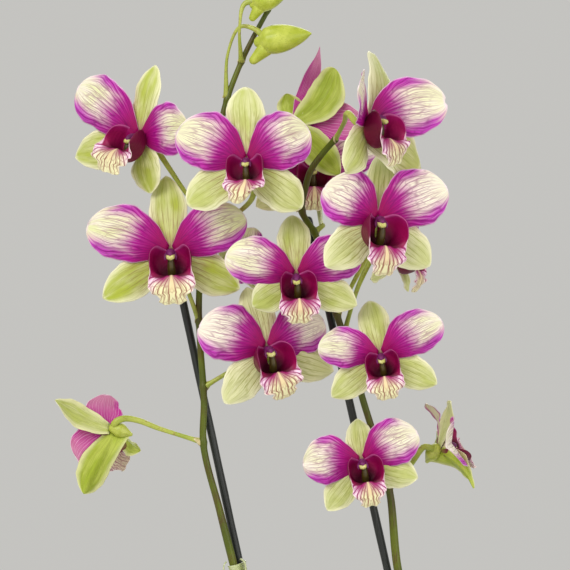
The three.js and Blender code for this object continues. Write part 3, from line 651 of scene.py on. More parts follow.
def petal_paint():
    """Magenta at the base and along both margins, pale in the middle and at the tip."""
    p = Paint("petal", 0.5, Specular_IOR_Level=0.2)
    t, s, side = p.attribute("place")
    seed, green, wash = p.attribute("mood")
    away = abs(s)
    nets, fan, shift = veins(p, t, s, seed, (0.42, 0.72), ((2.4, 5.6), (5.2, 10)))
    # veins: long rays that fork, with links between them
    sway = p.noise(p.vector(t * 2.2, fan * 2.6, shift + 5), 1)
    turn = fan * 5.4 + (sway * 1.1 + 20)
    ray = p.step(p.math("PINGPONG", turn, 0.5), 0, 0.5)
    fork = p.step(p.math("PINGPONG", turn * 2, 0.5), 0, 0.5)
    line = p.fall(ray, 0, 0.12)
    finer = p.fall(nets[1], 0, 0.1) * p.step(t, 0.15, 0.4, 0.2, 0.65)
    link = p.most(p.fall(nets[0], 0, 0.09), finer)
    twig = p.fall(fork, 0, 0.2) * p.step(t, 0.4, 0.75, 0, 0.5)
    streak = p.noise(p.vector(t * 1.4, fan * 9, shift), 1, 2)
    cloud = p.noise(p.vector(t * 2, s * 1.6, shift), 1.2)

    # how much magenta there is at each place
    along = t + ((wash - 0.5) * -0.1 + (cloud - 0.5) * 0.25)
    lower = p.step(s * -1, 0.15, 0.95) * p.step(along, 0.78, 1.1, 1.15, 0)
    upper = p.step(s, 0.3, 0.95) * p.step(along, 0.6, 1, 1.1, 0)
    field = p.most(p.step(along, 0.16, 0.82, 1.3, 0), p.most(lower, upper))
    between = (ray - 0.5) * -0.12 + (streak - 0.5) * -0.24
    field = field + between * p.step(t, 0.1, 0.5, 0.2, 1)
    magenta = p.step(field, 0.08, 1.04)

    # the front: deep where it is magenta, and pale elsewhere, with darker veins
    deep = p.mix(p.step(t, 0.1, 0.5), "#9c0052", "#ae058c")
    deep = p.mix(p.step(t, 0.35, 0.85), deep, "#bb3cb0")
    light = p.step(ray, 0.2, 0.9) * p.step(streak, 0.3, 0.7)
    deep = p.mix(light * p.step(t, 0.2, 0.7, 0, 0.5), deep, "#d886d0")
    lime = p.step(cloud, 0.3, 0.62) * p.step(t, 0.4, 0.8, 0.2, 0.75)
    pale = p.mix(lime * green, "#f1e9d6", "#d3db92")
    front = p.mix(magenta, pale, deep)
    vein = p.mix(magenta, "#8e4f74", "#6a0659")
    shown = p.step(t, 0.72, 1, 0.75, 0.2)
    front = p.mix(p.most(p.most(line, twig), link * 0.8) * shown, front, vein)
    rim = p.most(p.step(away, 0.94, 1), p.step(t, 0.97, 0.997))
    front = p.mix(rim * 0.6, front, "#ecd6e6")

    # the back: evenly flushed, or pale with flushed margins where it is faded
    faded = p.step(wash, 0.96, 1)
    covered = p.step(t, 0.5, 1, 0.95, 0.8) * (1 - faded)
    bare = faded * p.step(away, 0.95, 0.45, 0, 0.85)
    flush = p.most(magenta * (1 - bare), covered)
    back = p.mix(flush, "#e2dfb8", "#b02c86")
    back = p.mix(p.most(line, twig) * 0.5, back, "#e2b4d4")
    back = p.mix(rim * 0.6, back, "#ecd6e6")
    return p.finish(p.sided(side, back, front), p.most(line, link * 0.6), 0.25, 0.0002)


def sepal_paint():
    """Lime in the middle and cream at the margins, with a few dusky veins from the base."""
    p = Paint("sepal", 0.5, Specular_IOR_Level=0.25)
    t, s, side = p.attribute("place")
    seed, green, wash = p.attribute("mood")
    nets, fan, shift = veins(p, t, s, seed, (0.55, 0.45), ((2.2, 8), (5.5, 16)))
    main, fine = [p.fall(net, 0, 0.13) for net in nets]
    stripe = p.math("PINGPONG", (fan + 1.02) * 2.9, 0.5)
    line = p.fall(stripe, 0.02, 0.12)
    cloud = p.noise(p.vector(t * 2.4, s * 1.5, shift), 1.2)
    breaks = p.noise(p.vector(t * 4, fan * 6, shift), 1)
    away = abs(s)
    lime = p.step(away, 0.45, 1, 1, 0.25) * p.step(cloud, 0.28, 0.66, 0.6, 1)
    lime = lime * (green * 0.55 + 0.45)
    ground = p.mix(lime, "#ede8c4", "#a8b33c")
    purple = p.fall(t + wash * -0.35, -0.2, 0.45)
    vein = p.mix(purple, "#959a40", "#92594e")
    strong = p.step(t, 0.5, 1, 1, 0.2) * p.step(away, 0.7, 1, 1, 0.35)
    strong = strong * p.step(breaks, 0.3, 0.6, 0.35, 1)
    front = p.mix(p.most(line, main * 0.5) * strong, ground, vein)
    front = p.mix(fine * (strong * 0.25), front, vein)
    front = p.mix(p.step(t, 0.08, 0.32, 0.55, 0), front, "#9a4f62")
    rim = p.most(p.step(away, 0.86, 1), p.step(t, 0.94, 0.995))
    front = p.mix(rim * 0.55, front, "#e9e6c8")

    # the back: olive, or as pale as the front where it is faded
    olive = p.mix(p.step(cloud, 0.35, 0.65), "#94a42c", "#aeb94e")
    olive = p.mix(p.step(wash, 0.96, 1, 0, 0.85), olive, ground)
    back = p.mix(p.most(line, main) * 0.35, olive, "#80852c")
    back = p.mix(p.step(away, 0.55, 1, 0, 0.75), back, "#dcd9a4")
    return p.finish(p.sided(side, back, front), line + main * 0.5, 0.25, 0.0002)


def lip_paint():
    """Maroon side lobes, and a pale mid-lobe with veins that fan out from the throat."""
    p = Paint("lip", 0.5, Specular_IOR_Level=0.25)
    t, s, side = p.attribute("place")
    seed, _, wash = p.attribute("mood")
    shift = seed * 29
    away = abs(s)
    sway = p.noise(p.vector(t * 6, s * 3, shift), 1)
    wander = (sway - 0.5) * 0.5

    # the side lobes
    cup = p.mix(p.step(away, 0.25, 0.75), "#4c0020", "#8e0248")
    cup = p.mix(p.step(away, 0.8, 1, 0, 0.7), cup, "#a41068")
    # the mid-lobe: veins along rays from the throat, whose angle and distance these are
    down = (t - 0.4) * 27
    aside = away * 10.5
    angle = p.math("ARCTAN2", down, aside)
    reach = p.math("SQRT", down * down + aside * aside)
    rays = p.math("PINGPONG", (angle + wander * 0.12) * 4.2, 0.5)
    line = p.fall(rays, 0.05, p.step(wash, 0, 1, 0.15, 0.3))
    net = p.cells(p.vector(angle * 5, reach * 0.2, shift + s))
    net = p.fall(net, 0.02, 0.12)
    upper = angle + wander * 0.8 + wash * -0.5
    upper = p.fall(upper, 0.1, 0.85)
    lobe = p.mix(upper, "#e9e3b4", "#f4d2e4")
    vein = p.mix(upper, "#94624e", "#8d0b62")
    strong = p.step(reach, 10, 16, 1, 0.55)
    lobe = p.mix(p.most(line, net * 0.5) * strong, lobe, vein)
    near = reach * p.step(wash, 0.5, 1, 1, 0.74)
    throat = p.fall(near + wander * 4, 2.6, 7.5)
    throat = p.most(throat, p.step(angle, 0.12, 0.4, 0.9, 0) * p.step(wander, -0.1, 0.1))
    lobe = p.mix(throat * p.step(angle, 0.6, 1.5, 1, 0.5), lobe, "#960a60")
    keel_width = p.step(t, 0.4, 0.62, 0.02, 0.075)
    keel = p.fall(away / keel_width, 0.6, 1.2)
    lobe = p.mix(keel * p.step(t, 0.58, 0.78, 0.8, 0), lobe, "#e6d2a0")
    edge = p.most(p.step(away, 0.92, 0.99), p.step(t, 0.96, 0.995))
    lobe = p.mix(edge * 0.75, lobe, "#f2e9d8")
    # where the side lobes end and the mid-lobe begins
    dip = p.step(away, 0, 0.3, -0.05, 0) + p.step(away, 0.6, 1, 0, -0.045)
    border = p.step(t + wander * 0.03 - dip, 0.45, 0.475)
    front = p.mix(border, cup, lobe)
    hair = p.step(away, 0.95, 0.99) * p.step(t, 0.42, 0.48, 0.6, 0)
    front = p.mix(hair, front, "#c0609c")

    # the outside
    out = p.mix(border, "#680430", p.mix(0.35, lobe, "#c79ab0"))
    out = p.mix(p.step(t, 0.02, 0.14, 0.7, 0), out, "#8a8a3c")
    return p.finish(p.sided(side, out, front), p.most(line, net), 0.2, 0.0002)


def mottled(name, roughness, first, second, third, scale=0.12, stretch=(1, 1, 1), **settings):
    """A surface of three tints, broad patches of two and a fine grain of the third."""
    p = Paint(name, roughness, **settings)
    place = p.scaled(p.position(), stretch)
    broad = p.noise(place, scale, 3)
    small = p.noise(place, scale * 9, 4, 0.6)
    base = p.mix(p.step(broad, 0.36, 0.64), first, second)
    base = p.mix(p.step(small, 0.52, 0.72, 0, 0.7), base, third)
    return p.finish(base, small, 0.2, 0.0002)


def leaf_paint():
    """Glossy dark green with a pale midrib and margin, and duller and lighter below."""
    p = Paint("leaf", 0.34, Specular_IOR_Level=0.5, Coat_Weight=0.15, Coat_Roughness=0.3)
    t, s, side = p.attribute("place")
    away = abs(s)
    shift = p.attribute("mood")[0] * 17
    cloud = p.noise(p.vector(t * 4, s * 1.4, shift), 1.3, 3)
    grain = p.noise(p.vector(t * 3, s * 26, shift), 1, 2)
    top = p.mix(p.step(cloud, 0.34, 0.66), "#274d1c", "#3c6a26")
    top = p.mix(p.step(grain, 0.5, 0.75, 0, 0.5), top, "#557f35")
    middle = p.fall(away, 0.02, 0.07)
    top = p.mix(middle * 0.65, top, "#86a353")
    top = p.mix(p.step(away, 0.94, 1) * 0.5, top, "#8f9f4f")
    tip = p.step(t + (cloud - 0.5) * 0.08, 0.975, 0.995)
    top = p.mix(tip * 0.8, top, "#8c7a40")
    under = p.mix(p.step(grain, 0.4, 0.7), "#5f8440", "#7b9a55")
    relief = grain + middle * -1
    return p.finish(p.sided(side, under, top), relief, 0.2, 0.0003)


def stem_paint():
    """Olive with long fibres and patches of brown flush."""
    p = Paint("stem", 0.4, Specular_IOR_Level=0.35)
    place = p.position()
    broad = p.noise(place, 0.035, 2)
    grain = p.noise(p.scaled(place, (1, 1, 0.12)), 1.4, 3)
    base = p.mix(p.step(broad, 0.38, 0.6), "#5c660c", "#4a540a")
    flush = p.step(p.noise(place, 0.06, 2), 0.4, 0.58) * p.step(grain, 0.3, 0.65)
    base = p.mix(flush * 0.75, base, "#4e2e1c")
    base = p.mix(p.step(grain, 0.6, 0.8, 0, 0.35), base, "#7c8a26")
    return p.finish(base, grain, 0.15, 0.0002)


def chip_paint():
    """Bark whose brown differs from chip to chip, with dark pores and worn places."""
    p = Paint("bark", 0.85)
    place = p.position()
    grain = p.noise(place, 0.9, 5, 0.65)
    base = p.mix(p.attribute("place")[2], "#3a2418", "#7a5236")
    base = p.mix(p.step(grain, 0.45, 0.7), base, "#241510")
    base = p.mix(p.step(p.noise(place, 0.3, 2), 0.6, 0.75, 0, 0.5), base, "#a07c58")
    return p.finish(base, grain, 0.7, 0.0008)


def clay_paint():
    """Turned terracotta with specks, and a bloom of lime that rises from its foot."""
    p = Paint("clay", 0.82)
    place = p.position()
    broad = p.noise(place, 0.025, 4)
    turned = p.noise(p.scaled(place, (0.05, 0.05, 1)), 0.9, 3)
    speck = p.noise(place, 1.6, 3, 0.7)
    base = p.mix(p.step(broad, 0.35, 0.65), "#a9593a", "#bb6d49")
    base = p.mix(p.step(turned, 0.5, 0.75, 0, 0.35), base, "#8f4a30")
    height = p.split(place)[2]
    bloom = p.step(p.noise(place, 0.05, 5, 0.65), 0.5, 0.72)
    base = p.mix(bloom * p.step(height, 70, 15, 0.15, 0.6), base, "#d8bfa8")
    base = p.mix(p.step(speck, 0.66, 0.8, 0, 0.4), base, "#7c3d28")
    return p.finish(base, turned + speck * 0.5, 0.35, 0.0004)


def floor_paint():
    p = Paint("floor", 0.8)
    grain = p.noise(p.position(), 0.004, 2)
    return p.finish(p.mix(grain, "#dcdbd7", "#e3e2de"))


PAINT = {
    "petal": petal_paint(),
    "sepal": sepal_paint(),
    "lip": lip_paint(),
    "column": mottled("column", 0.6, "#5c0844", "#6e0a5c", "#3a0526", 0.5),
    "cap": mottled("cap", 0.4, "#b9b45c", "#cdc788", "#8d8d34", 0.8),
    "foot": mottled("foot", 0.45, "#4a3c08", "#3c3208", "#2c0c18", 0.6),
    "hub": mottled("hub", 0.42, "#a3ad3c", "#b7be58", "#7c5a3c", 0.4),
    "pedicel": mottled("pedicel", 0.4, "#8f9d34", "#a9b04a", "#8a6140", 0.08),
    "bud": mottled("bud", 0.4, "#a3ae2e", "#bac24e", "#8a9628", 0.14),
    "stem": stem_paint(),
    "cane": mottled("cane", 0.42, "#6c7f2c", "#87923a", "#a29a55", 0.05, (1, 1, 0.25)),
    "sheath": mottled("sheath", 0.75, "#b7a57c", "#cfc19b", "#8d7650", 0.25, (1, 1, 0.08)),
    "bract": mottled("bract", 0.7, "#b9a878", "#d3c79a", "#84643f", 0.5),
    "leaf": leaf_paint(),
    "stake": mottled("stake", 0.42, "#141613", "#1d211d", "#30352f", 0.1, (1, 1, 0.05)),
    "clip": mottled(
        "clip", 0.2, "#ccd498", "#d6dcaa", "#bcc684", 0.2, Transmission_Weight=0.3, IOR=1.45,
    ),
    "clay": clay_paint(),
    "bark": chip_paint(),
    "soil": mottled("soil", 0.9, "#2b1b12", "#3a271b", "#5d4430", 0.3),
    "floor": floor_paint(),
}

# ---------------------------------------------------------------- flowers


def habit(whorl, spec):
    """How a whorl's tepals bow, fold along the middle, and tint their backs."""
    usual = WHORLS[whorl]["arch"] * spec["size"]
    return {
        "dorsal": (spec.get("bend", 0), 0, spec.get("fade")),
        "lateral": (spec.get("crook", usual), spec.get("keel", 0), None),
        "petal": (usual, spec.get("cup", 0), spec.get("flush", spec.get("fade"))),
    }[whorl]


def widths(t, outline, power):
    """The half-width at t as a share of the widest, which is at most 1."""
    whole = np.linspace(0, 1, 101)
    widest = (table(outline, whole) * (1 - whole) ** power).max()
    return table(outline, t) * (1 - t) ** power / widest


def rippled(t, s, wave):
    """The frill of a tepal's half-width, and how far its ripples stand forward."""
    phases = [rng.uniform(0, CYCLE) for _ in range(4)]
    phase = np.where(s > 0, phases[0], phases[1])
    other = np.where(s > 0, phases[2], phases[3])
    rhythm = rng.uniform(1.2, 1.9)
    frill = 1 + 0.025 * np.sin(CYCLE * 2.6 * t + phase) + 0.012 * np.sin(CYCLE * 6.1 * t + other)
    edge = smooth(0.25, 1, np.abs(s)) * smooth(0.15, 0.5, t)
    ripple = wave * np.sin(CYCLE * rhythm * t + other) * edge
    ripple = ripple + wave * 0.3 * np.sin(CYCLE * 4.4 * t + phase) * edge**2
    return frill, ripple


def blade(piece, whorl, tip, spec):
    """One sepal or petal in the flower's own plane, from its base on the middle to its tip."""
    sizes = WHORLS[whorl]
    shape = TEPALS[sizes["kind"]]
    base = sizes["base"] * spec["size"]
    arch, keel, stain = habit(whorl, spec)
    x, z, lean, share, power, roll = tip + (1, shape["power"], 0)[len(tip) - 3:]
    u, v = sheet(*TEPAL["grid"])
    t = TEPAL["start"] + (TIP - TEPAL["start"]) * (1 - (1 - u) ** 1.7)
    s = np.sin(v * math.pi / 2) * 0.35 + v * 0.65
    angle = math.atan2(z - base, x)
    outward = np.array((math.cos(angle), 0, math.sin(angle)))
    across = np.array((-math.sin(angle), 0, math.cos(angle)))
    forward = np.array((0.0, -1.0, 0.0))
    # which side of the tepal is its upper one, or its left one where it stands upright
    upper = 1 if across[2] > 0.02 or (abs(across[2]) <= 0.02 and across[0] < 0) else -1
    reach = math.hypot(x, z - base)
    hump = 4 * t * (1 - t)
    frill, ripple = rippled(t, s, sizes["wave"])
    half = widths(t, shape["outline"], power) * sizes["width"] * spec["size"] * share / 2 * frill
    lift = reach * math.tan(math.radians(lean)) * t ** TEPAL["lean_power"]
    lift = lift + shape["bow"] * hump * (1 - s * s) + ripple
    lift = lift - TEPAL["recurve"] * smooth(0.62, 1, t) ** 1.4
    groove = 0.35 * np.exp(-((s / 0.07) ** 2)) * smooth(0.05, 0.2, t) * smooth(1, 0.8, t)
    lift = lift - groove + keel * share * np.sqrt(s * s + 0.004) * hump
    lift = lift + roll * np.maximum(0, -s * upper) * smooth(0, 0.5, t)
    surface = (
        np.array((0, sizes["setback"], base))
        + outward * (reach * t)[..., None]
        + across * (s * half + upper * arch * hump)[..., None]
        + forward * lift[..., None]
    )
    if whorl == "lateral":
        pull = smooth(0.45, 0, t) * smooth(0.1, 1, -s * upper)
        surface = surface + pull[..., None] * (np.array(CHIN) * spec["size"] - surface)
    thickness = shape["thickness"] * (1 - 0.7 * np.abs(s) ** 3) * (1 - 0.5 * smooth(0.7, 1, t))
    made = shell(surface, t, s * upper, thickness)
    piece.add(*made, PAINT[sizes["kind"]], green=spec.get("green"), stain=stain)


def lip(piece, spec, wave):
    """Side lobes that stand around the column, and a ruffled mid-lobe that hangs in front."""
    u, v = sheet(*LIP["grid"])
    s = np.sin(v * math.pi / 2) * 0.3 + v * 0.7
    share = np.abs(s)
    notch = 0.035 * np.exp(-((s / 0.14) ** 2)) + 0.08 * share**3 + 0.008 * np.cos(s * 15 + wave)
    t = u * (1 - notch * smooth(0.72, 1, u))
    y, z, edge, height, bulge = (table(LIP[key], t) for key in ("y", "z", "edge", "height", "bulge"))
    lean = np.radians(table(LIP["lean"], t))
    edge = edge * (1 + (spec.get("spread", 1) - 1) * smooth(0.4, 0.5, t))
    # a cubic curve from the midrib, which it leaves sideways, to the edge
    near = 3 * share * (1 - share) ** 2
    middle = 3 * share**2 * (1 - share)
    far = share**3
    root = np.maximum(edge * 0.6, 4) * smooth(-0.05, 0.1, t)
    out = near * root + middle * (edge + bulge) + far * edge
    rise = middle * height * 0.5 + far * height
    # ruffles along the mid-lobe's edge, and keels along its middle
    rim = smooth(0.5, 1, share)
    apron = smooth(0.44, 0.56, t)
    ruffle = np.sin(t * 36 + wave + 1.5 * np.sign(s)) + 0.35 * np.sin(t * 67 + 2 * wave)
    rise = rise + apron * rim * ruffle * (0.75 - 0.55 * smooth(0.7, 0.78, t))
    rise = rise + smooth(0.84, 1, t) * np.sin(s * 8 + wave) * 0.4
    keels = np.exp(-((s / 0.05) ** 2)) + 0.6 * np.exp(-(((share - 0.13) / 0.04) ** 2))
    rise = rise + 0.6 * keels * smooth(0.25, 0.4, t) * smooth(0.85, 0.6, t)
    out = out + 0.35 * np.sin(t * 36 + wave + 0.8) * apron * rim
    points = np.stack([np.sign(s) * out, y - rise * np.sin(lean), z + rise * np.cos(lean)], -1)
    fold = spec.get("fold", 0) * np.clip(s * 1.4, 0, 1) * smooth(0.44, 0.6, t)
    points[..., 2] += fold * (-10 - points[..., 2])
    points[..., 1] -= fold * 3
    twist = math.radians(spec.get("twist", 0)) * smooth(0.42, 0.6, t)
    x, below = points[..., 0].copy(), points[..., 2] + 12
    points[..., 0] = x * np.cos(twist) - below * np.sin(twist)
    points[..., 2] = below * np.cos(twist) + x * np.sin(twist) - 12
    thickness = LIP["thickness"] * (1 - 0.6 * share**3)
    points, faces, place = shell(points, t, s, thickness)
    piece.add(hung(points, spec), faces, place, PAINT["lip"], stain=spec.get("stain"))


def hung(points, spec):
    """Turns points of a lip about its hinge and scales them."""
    turned = Matrix.Rotation(math.radians(spec.get("swing", 0)), 3, "Z")
    turned = np.array(turned @ Matrix.Rotation(math.radians(-spec.get("lift", 0)), 3, "X"))
    hinge = np.array(LIP["hinge"])
    return ((points - hinge) @ turned.T + hinge) * spec["size"]


def heart(piece, spec):
    """The hub behind the tepals, the column's hood, anther cap, teeth and foot."""
    for rod in HEART:
        for side in (1, -1) if rod["axis"][0][0] else (1,):
            path = route([(side * x, y, z) for x, y, z in rod["axis"]], 0.5)
            radii = table(rod["radii"], np.linspace(0, 1, len(path)))
            points, faces, place = sweep(*domed(path, radii), rod["sides"])
            points = hung(points, spec) if rod.get("with_lip") else points * spec["size"]
            piece.add(points, faces, place, PAINT[rod["paint"]])


def bract(piece, base, direction, length, width):
    """A small papery scale that clasps a stem at a node and points along direction."""
    u, v = sheet(10, 9)
    direction = unit(direction)
    side = unit(np.cross(direction, (0.2, 1, 0.1)))
    outward = np.cross(side, direction)
    half = width / 2 * np.sqrt(np.clip(1 - u**1.6, 0.002, 1))
    wrap = (1 - u) * 1.2 + 0.3
    surface = (
        np.array(base)
        + direction * (length * u)[..., None]
        + side * (half * np.sin(v * wrap))[..., None]
        + outward * (half * (np.cos(v * wrap) - 0.4) + length * 0.12 * u**2)[..., None]
    )
    piece.add(*shell(surface, u, v, np.full(u.shape, PAPER["bract"])), PAINT["bract"])


def facing(spec):
    """The matrix that puts a flower's own frame in its place on the plant."""
    yaw, pitch, roll = (math.radians(a) for a in spec["turn"])
    turned = Matrix.Rotation(yaw, 4, "Z") @ Matrix.Rotation(-pitch, 4, "X")
    return Matrix.Translation(spec["at"]) @ turned @ Matrix.Rotation(-roll, 4, "Y")


def stalk(piece, spec, matrix):
    """The three-ribbed ovary and pedicel, from the flower's back to its stem."""
    size = spec["size"]
    local = matrix.inverted()
    points = [(0, 3.4, -3), (0, 7 * size, -1.5)] + [tuple(local @ Vector(p)) for p in spec["pedicel"]]
    path = route(points, 1.5)
    thick = [(0, 2.0 * size), (0.12, 1.7), (0.35, 1.45), (0.9, 1.25), (1, 1.5)]
    radii = table(thick, np.linspace(0, 1, len(path)))
    ribs = lambda a: 1 + 0.06 * np.cos(3 * a)
    piece.add(*sweep(path, radii, 14, ribs), PAINT["pedicel"])
    bract(piece, path[-1] + (path[-3] - path[-1]) * 0.1, path[-4] - path[-1], 5.0, 4.4)


def flower(name, spec):
    matrix = facing(spec)
    tips = {"dorsal": [spec["dorsal"]], "lateral": spec["laterals"], "petal": spec["petals"]}
    body = Piece()
    for whorl in WHORLS:
        for tip in tips[whorl]:
            blade(body, whorl, tip, spec)
    heart(body, spec)
    stalk(body, spec, matrix)
    body.finish(f"flower_{name}", "tepal", [f"flower_{name}_perianth"], matrix)

    labellum = Piece()
    lip(labellum, spec, rng.uniform(0, CYCLE))
    labellum.finish(f"lip_{name}", "lip", [f"flower_{name}_lip"], matrix)


def bud(name, spec):
    base, apex = np.array(spec["base"], float), np.array(spec["apex"], float)
    axis = apex - base
    piece = Piece()
    share = np.linspace(0, 1, 26)
    path = base + np.outer(share - 0.04, axis)
    radii = table(BUD_OUTLINE, share) * spec["radius"]
    seams = lambda a: 1 - 0.07 * np.exp(-((np.abs(((a / (2 * math.pi) * 3) % 1) - 0.5) / 0.07) ** 2))
    piece.add(*sweep(*domed(path, radii), 36, seams), PAINT["bud"])
    start = base + axis * 0.25
    chin = route([start, start * 0.35 + np.array(spec["chin"]) * 0.65, spec["chin"]], 0.6)
    radii = np.linspace(0.75, 0.32, len(chin)) * spec["radius"]
    piece.add(*sweep(*domed(chin, radii), 20), PAINT["bud"])
    path = route([base + axis * 0.12] + spec["pedicel"], 1.5)
    radii = table([(0, 2.2), (0.15, 1.5), (0.9, 1.2), (1, 1.5)], np.linspace(0, 1, len(path)))
    piece.add(*sweep(path, radii, 12), PAINT["pedicel"])
    bract(piece, path[-1], path[-4] - path[-1], 4.0, 3.6)
    piece.finish(f"orchid_bud_{name}", "bud", [f"bud_{name}"])


# ---------------------------------------------------------------- canes, stakes and clips


def cane(name):
    """A jointed cane in torn sheaths, or with a spray's stem above it."""
    path = route(CANES[name], 1.2)
    centre, radii = path[:, :3], path[:, 3].copy()
    height = centre[:, 2]
    radii *= 1 - SPIKE_SLIM["by"] * smooth(SPIKE_SLIM["low"], SPIKE_SLIM["high"], height)
    travelled = distances(centre)
    below = height < SPIKE_FROM
    phase = (travelled / INTERNODE) % 1
    # below, each internode swells and has a ring at its joint, and above, stalks join at knots
    radii += np.where(below, 0.35 * np.sin(phase * math.pi) - 0.25, 0)
    radii += np.where(below, 0.5 * np.exp(-((np.minimum(phase, 1 - phase) / 0.035) ** 2)), 0)
    joints = [f["pedicel"][-1] for f in list(FLOWERS.values()) + list(BUDS.values())]
    for joint in joints:
        away = np.linalg.norm(centre - np.array(joint), axis=1)
        if away.min() < 4:
            radii += 0.45 * np.exp(-(((travelled - travelled[away.argmin()]) / 1.6) ** 2))
    piece = Piece()
    material = PAINT["stem"] if height.max() > SPIKE_FROM + 20 else PAINT["cane"]
    piece.add(*sweep(*domed(centre, radii, at_start=False), 18), material)
    for k in range(FIRST_SHEATH, int(travelled[below].max() / INTERNODE)):
        sheath(piece, centre, radii, travelled, k * INTERNODE, rng.uniform(0.55, 0.92) * INTERNODE)
    piece.finish(f"stem_{name}", "cane", [f"cane_{name}"])


def sheath(piece, centre, radii, travelled, start, length):
    """A dry papery sheath round one internode, torn obliquely at its top."""
    u, v = sheet(9, 22, low=0)
    lean = rng.uniform(0, CYCLE)
    around = v * 6.1 + lean
    top = length * (0.72 + 0.28 * np.cos(v * CYCLE)) + rng.uniform(-1, 1)
    ragged = 0.6 * np.sin(v * 31 + lean) + 0.5 * np.sin(v * 53)
    at = start + u * (top + ragged)
    place = np.stack([np.interp(at, travelled, column) for column in centre.T], -1)
    slope = np.gradient(centre, axis=0)
    slope /= np.linalg.norm(slope, axis=1, keepdims=True)
    tangent = np.stack([np.interp(at, travelled, column) for column in slope.T], -1)
    side = np.cross(tangent, (0, 1, 0))
    side /= np.linalg.norm(side, axis=2, keepdims=True)
    other = np.cross(tangent, side)
    radius = np.interp(at, travelled, radii) + 0.35 + 0.5 * u**3 + 0.25 * v
    outward = side * np.cos(around)[..., None] + other * np.sin(around)[..., None]
    surface = place + outward * radius[..., None]
    piece.add(*shell(surface, u, v, np.full(u.shape, PAPER["sheath"])), PAINT["sheath"])


def stake(name):
    path = np.linspace(*np.array(STAKES[name], float), 60)
    radii = np.full(60, STAKE_RADIUS - 0.05) + 0.05 * np.sin(np.linspace(0, 90, 60))
    ridges = lambda a: 1 + 0.02 * np.cos(8 * a)
    piece = Piece()
    piece.add(*sweep(*domed(path, radii, at_start=False), 24, ridges), PAINT["stake"])
    piece.finish(f"rod_{name}", "stake", [f"stake_{name}"])


def sleeve(piece, inner, apart):
    """The clip's thin sleeve, drawn out from the stem to the stake that stands apart from it."""
    u, v = sheet(14, 72, low=0)
    around = math.atan2(apart[1], apart[0]) + math.pi / 2 + v * 2 * math.pi * 0.985
    radius = inner + CLIP["wall"] / 2 + 0.5 * np.abs(2 * u - 1) ** 4
    at_rod = smooth(0.42, 0.58, v)
    ring = np.stack([radius * np.cos(around), radius * np.sin(around)], -1)
    surface = np.concatenate([ring + apart * at_rod[..., None], CLIP["height"] * u[..., None]], -1)
    piece.add(*shell(surface, u, v, np.full(u.shape, CLIP["wall"] * 0.6)), PAINT["clip"])


def wing(piece, inner, side):
    """One of the clip's two wings, which curl up and outwards."""
    u, v = sheet(26, 12)
    turn = u * math.radians(CLIP["curl"])
    curl = CLIP["wing"] / math.radians(CLIP["curl"])
    width = CLIP["width"] / 2 * (1 - CLIP["taper"] * u) * np.sqrt(1 - 0.9 * smooth(0.86, 1, u))
    surface = np.stack([
        side * (inner + 0.3 + curl * np.sin(turn)),
        v * width * side - 1,
        CLIP["height"] * 0.45 + curl * 1.25 * (1 - np.cos(turn)),
    ], -1)
    piece.add(*shell(surface, u, v, np.full(u.shape, CLIP["wing_thickness"])), PAINT["clip"])


def clip(name):
    height = CLIP["heights"][name]
    x, y, z, _ = zip(*CANES[name])
    stem = np.array([np.interp(height, z, x), np.interp(height, z, y)])
    low, high = np.array(STAKES[name], float)
    rod = low + (high - low) * (height - low[2]) / (high[2] - low[2])
    inner = STAKE_RADIUS + CLIP["gap"]
    piece = Piece()
    sleeve(piece, inner, rod[:2] - stem)
    for side in (1, -1):
        wing(piece, inner, side)
    tilt = math.atan2(high[0] - low[0], high[2] - low[2])
    matrix = Matrix.Translation((stem[0], stem[1], height)) @ Matrix.Rotation(tilt, 4, "Y")
    piece.finish(f"grip_{name}", "clip", [f"clip_{name}"], matrix)


# ---------------------------------------------------------------- leaves


def leaf(name, spec):
    heading = math.radians(spec["heading"])
    outward = np.array((math.cos(heading), math.sin(heading), 0))
    across = np.array((-math.sin(heading), math.cos(heading), 0))
    upright = np.array((0, 0, 1))
    u, v = sheet(*LEAF["grid"])
    t = 1 - (1 - u) ** 1.25
    t[-1] = TIP
    steps = 400
    fine = np.linspace(0, 1, steps)
    climb = np.radians(np.linspace(*spec["climb"], steps))
    step = spec["length"] / steps
    out = np.cumsum(np.cos(climb)) * step
    up = np.cumsum(np.sin(climb)) * step
    slope = np.interp(t, fine, climb)
    normal = upright * np.cos(slope)[..., None] - outward * np.sin(slope)[..., None]
    share = table(LEAF["outline"], t) * (1 - t) ** LEAF["power"]
    phase = rng.uniform(0, CYCLE)
    margin = smooth(0.3, 1, np.abs(v)) * smooth(0.1, 0.4, t)
    sway = 0.9 * np.sin(CYCLE * 1.6 * t + phase + 1.2 * np.sign(v)) * margin
    lift = LEAF["keel"] * (2 * np.sqrt(v * v + 0.01) - 1) * share * 0.9 + sway
    drift = rng.uniform(-3, 3) * t**2
    surface = (
        np.array(spec["start"])
        + outward * np.interp(t, fine, out)[..., None]
        + upright * np.interp(t, fine, up)[..., None]
        + across * (v * share * spec["width"] / 2 + drift)[..., None]
        + normal * lift[..., None]
    )
    thickness = LEAF["thickness"] * (1 - 0.65 * v**2) * (1 - 0.4 * smooth(0.6, 1, t))
    piece = Piece()
    piece.add(*shell(surface, t, v, thickness), PAINT["leaf"])
    piece.finish(f"foliage_{name}", "leaf", [f"leaf_{name}"])


# ---------------------------------------------------------------- pot and medium


def inner_radius(z):
    shoulder = POT["height"] - POT["rim_height"]
    return POT["base"] + (POT["body"] - POT["base"]) * z / shoulder - POT["wall"]


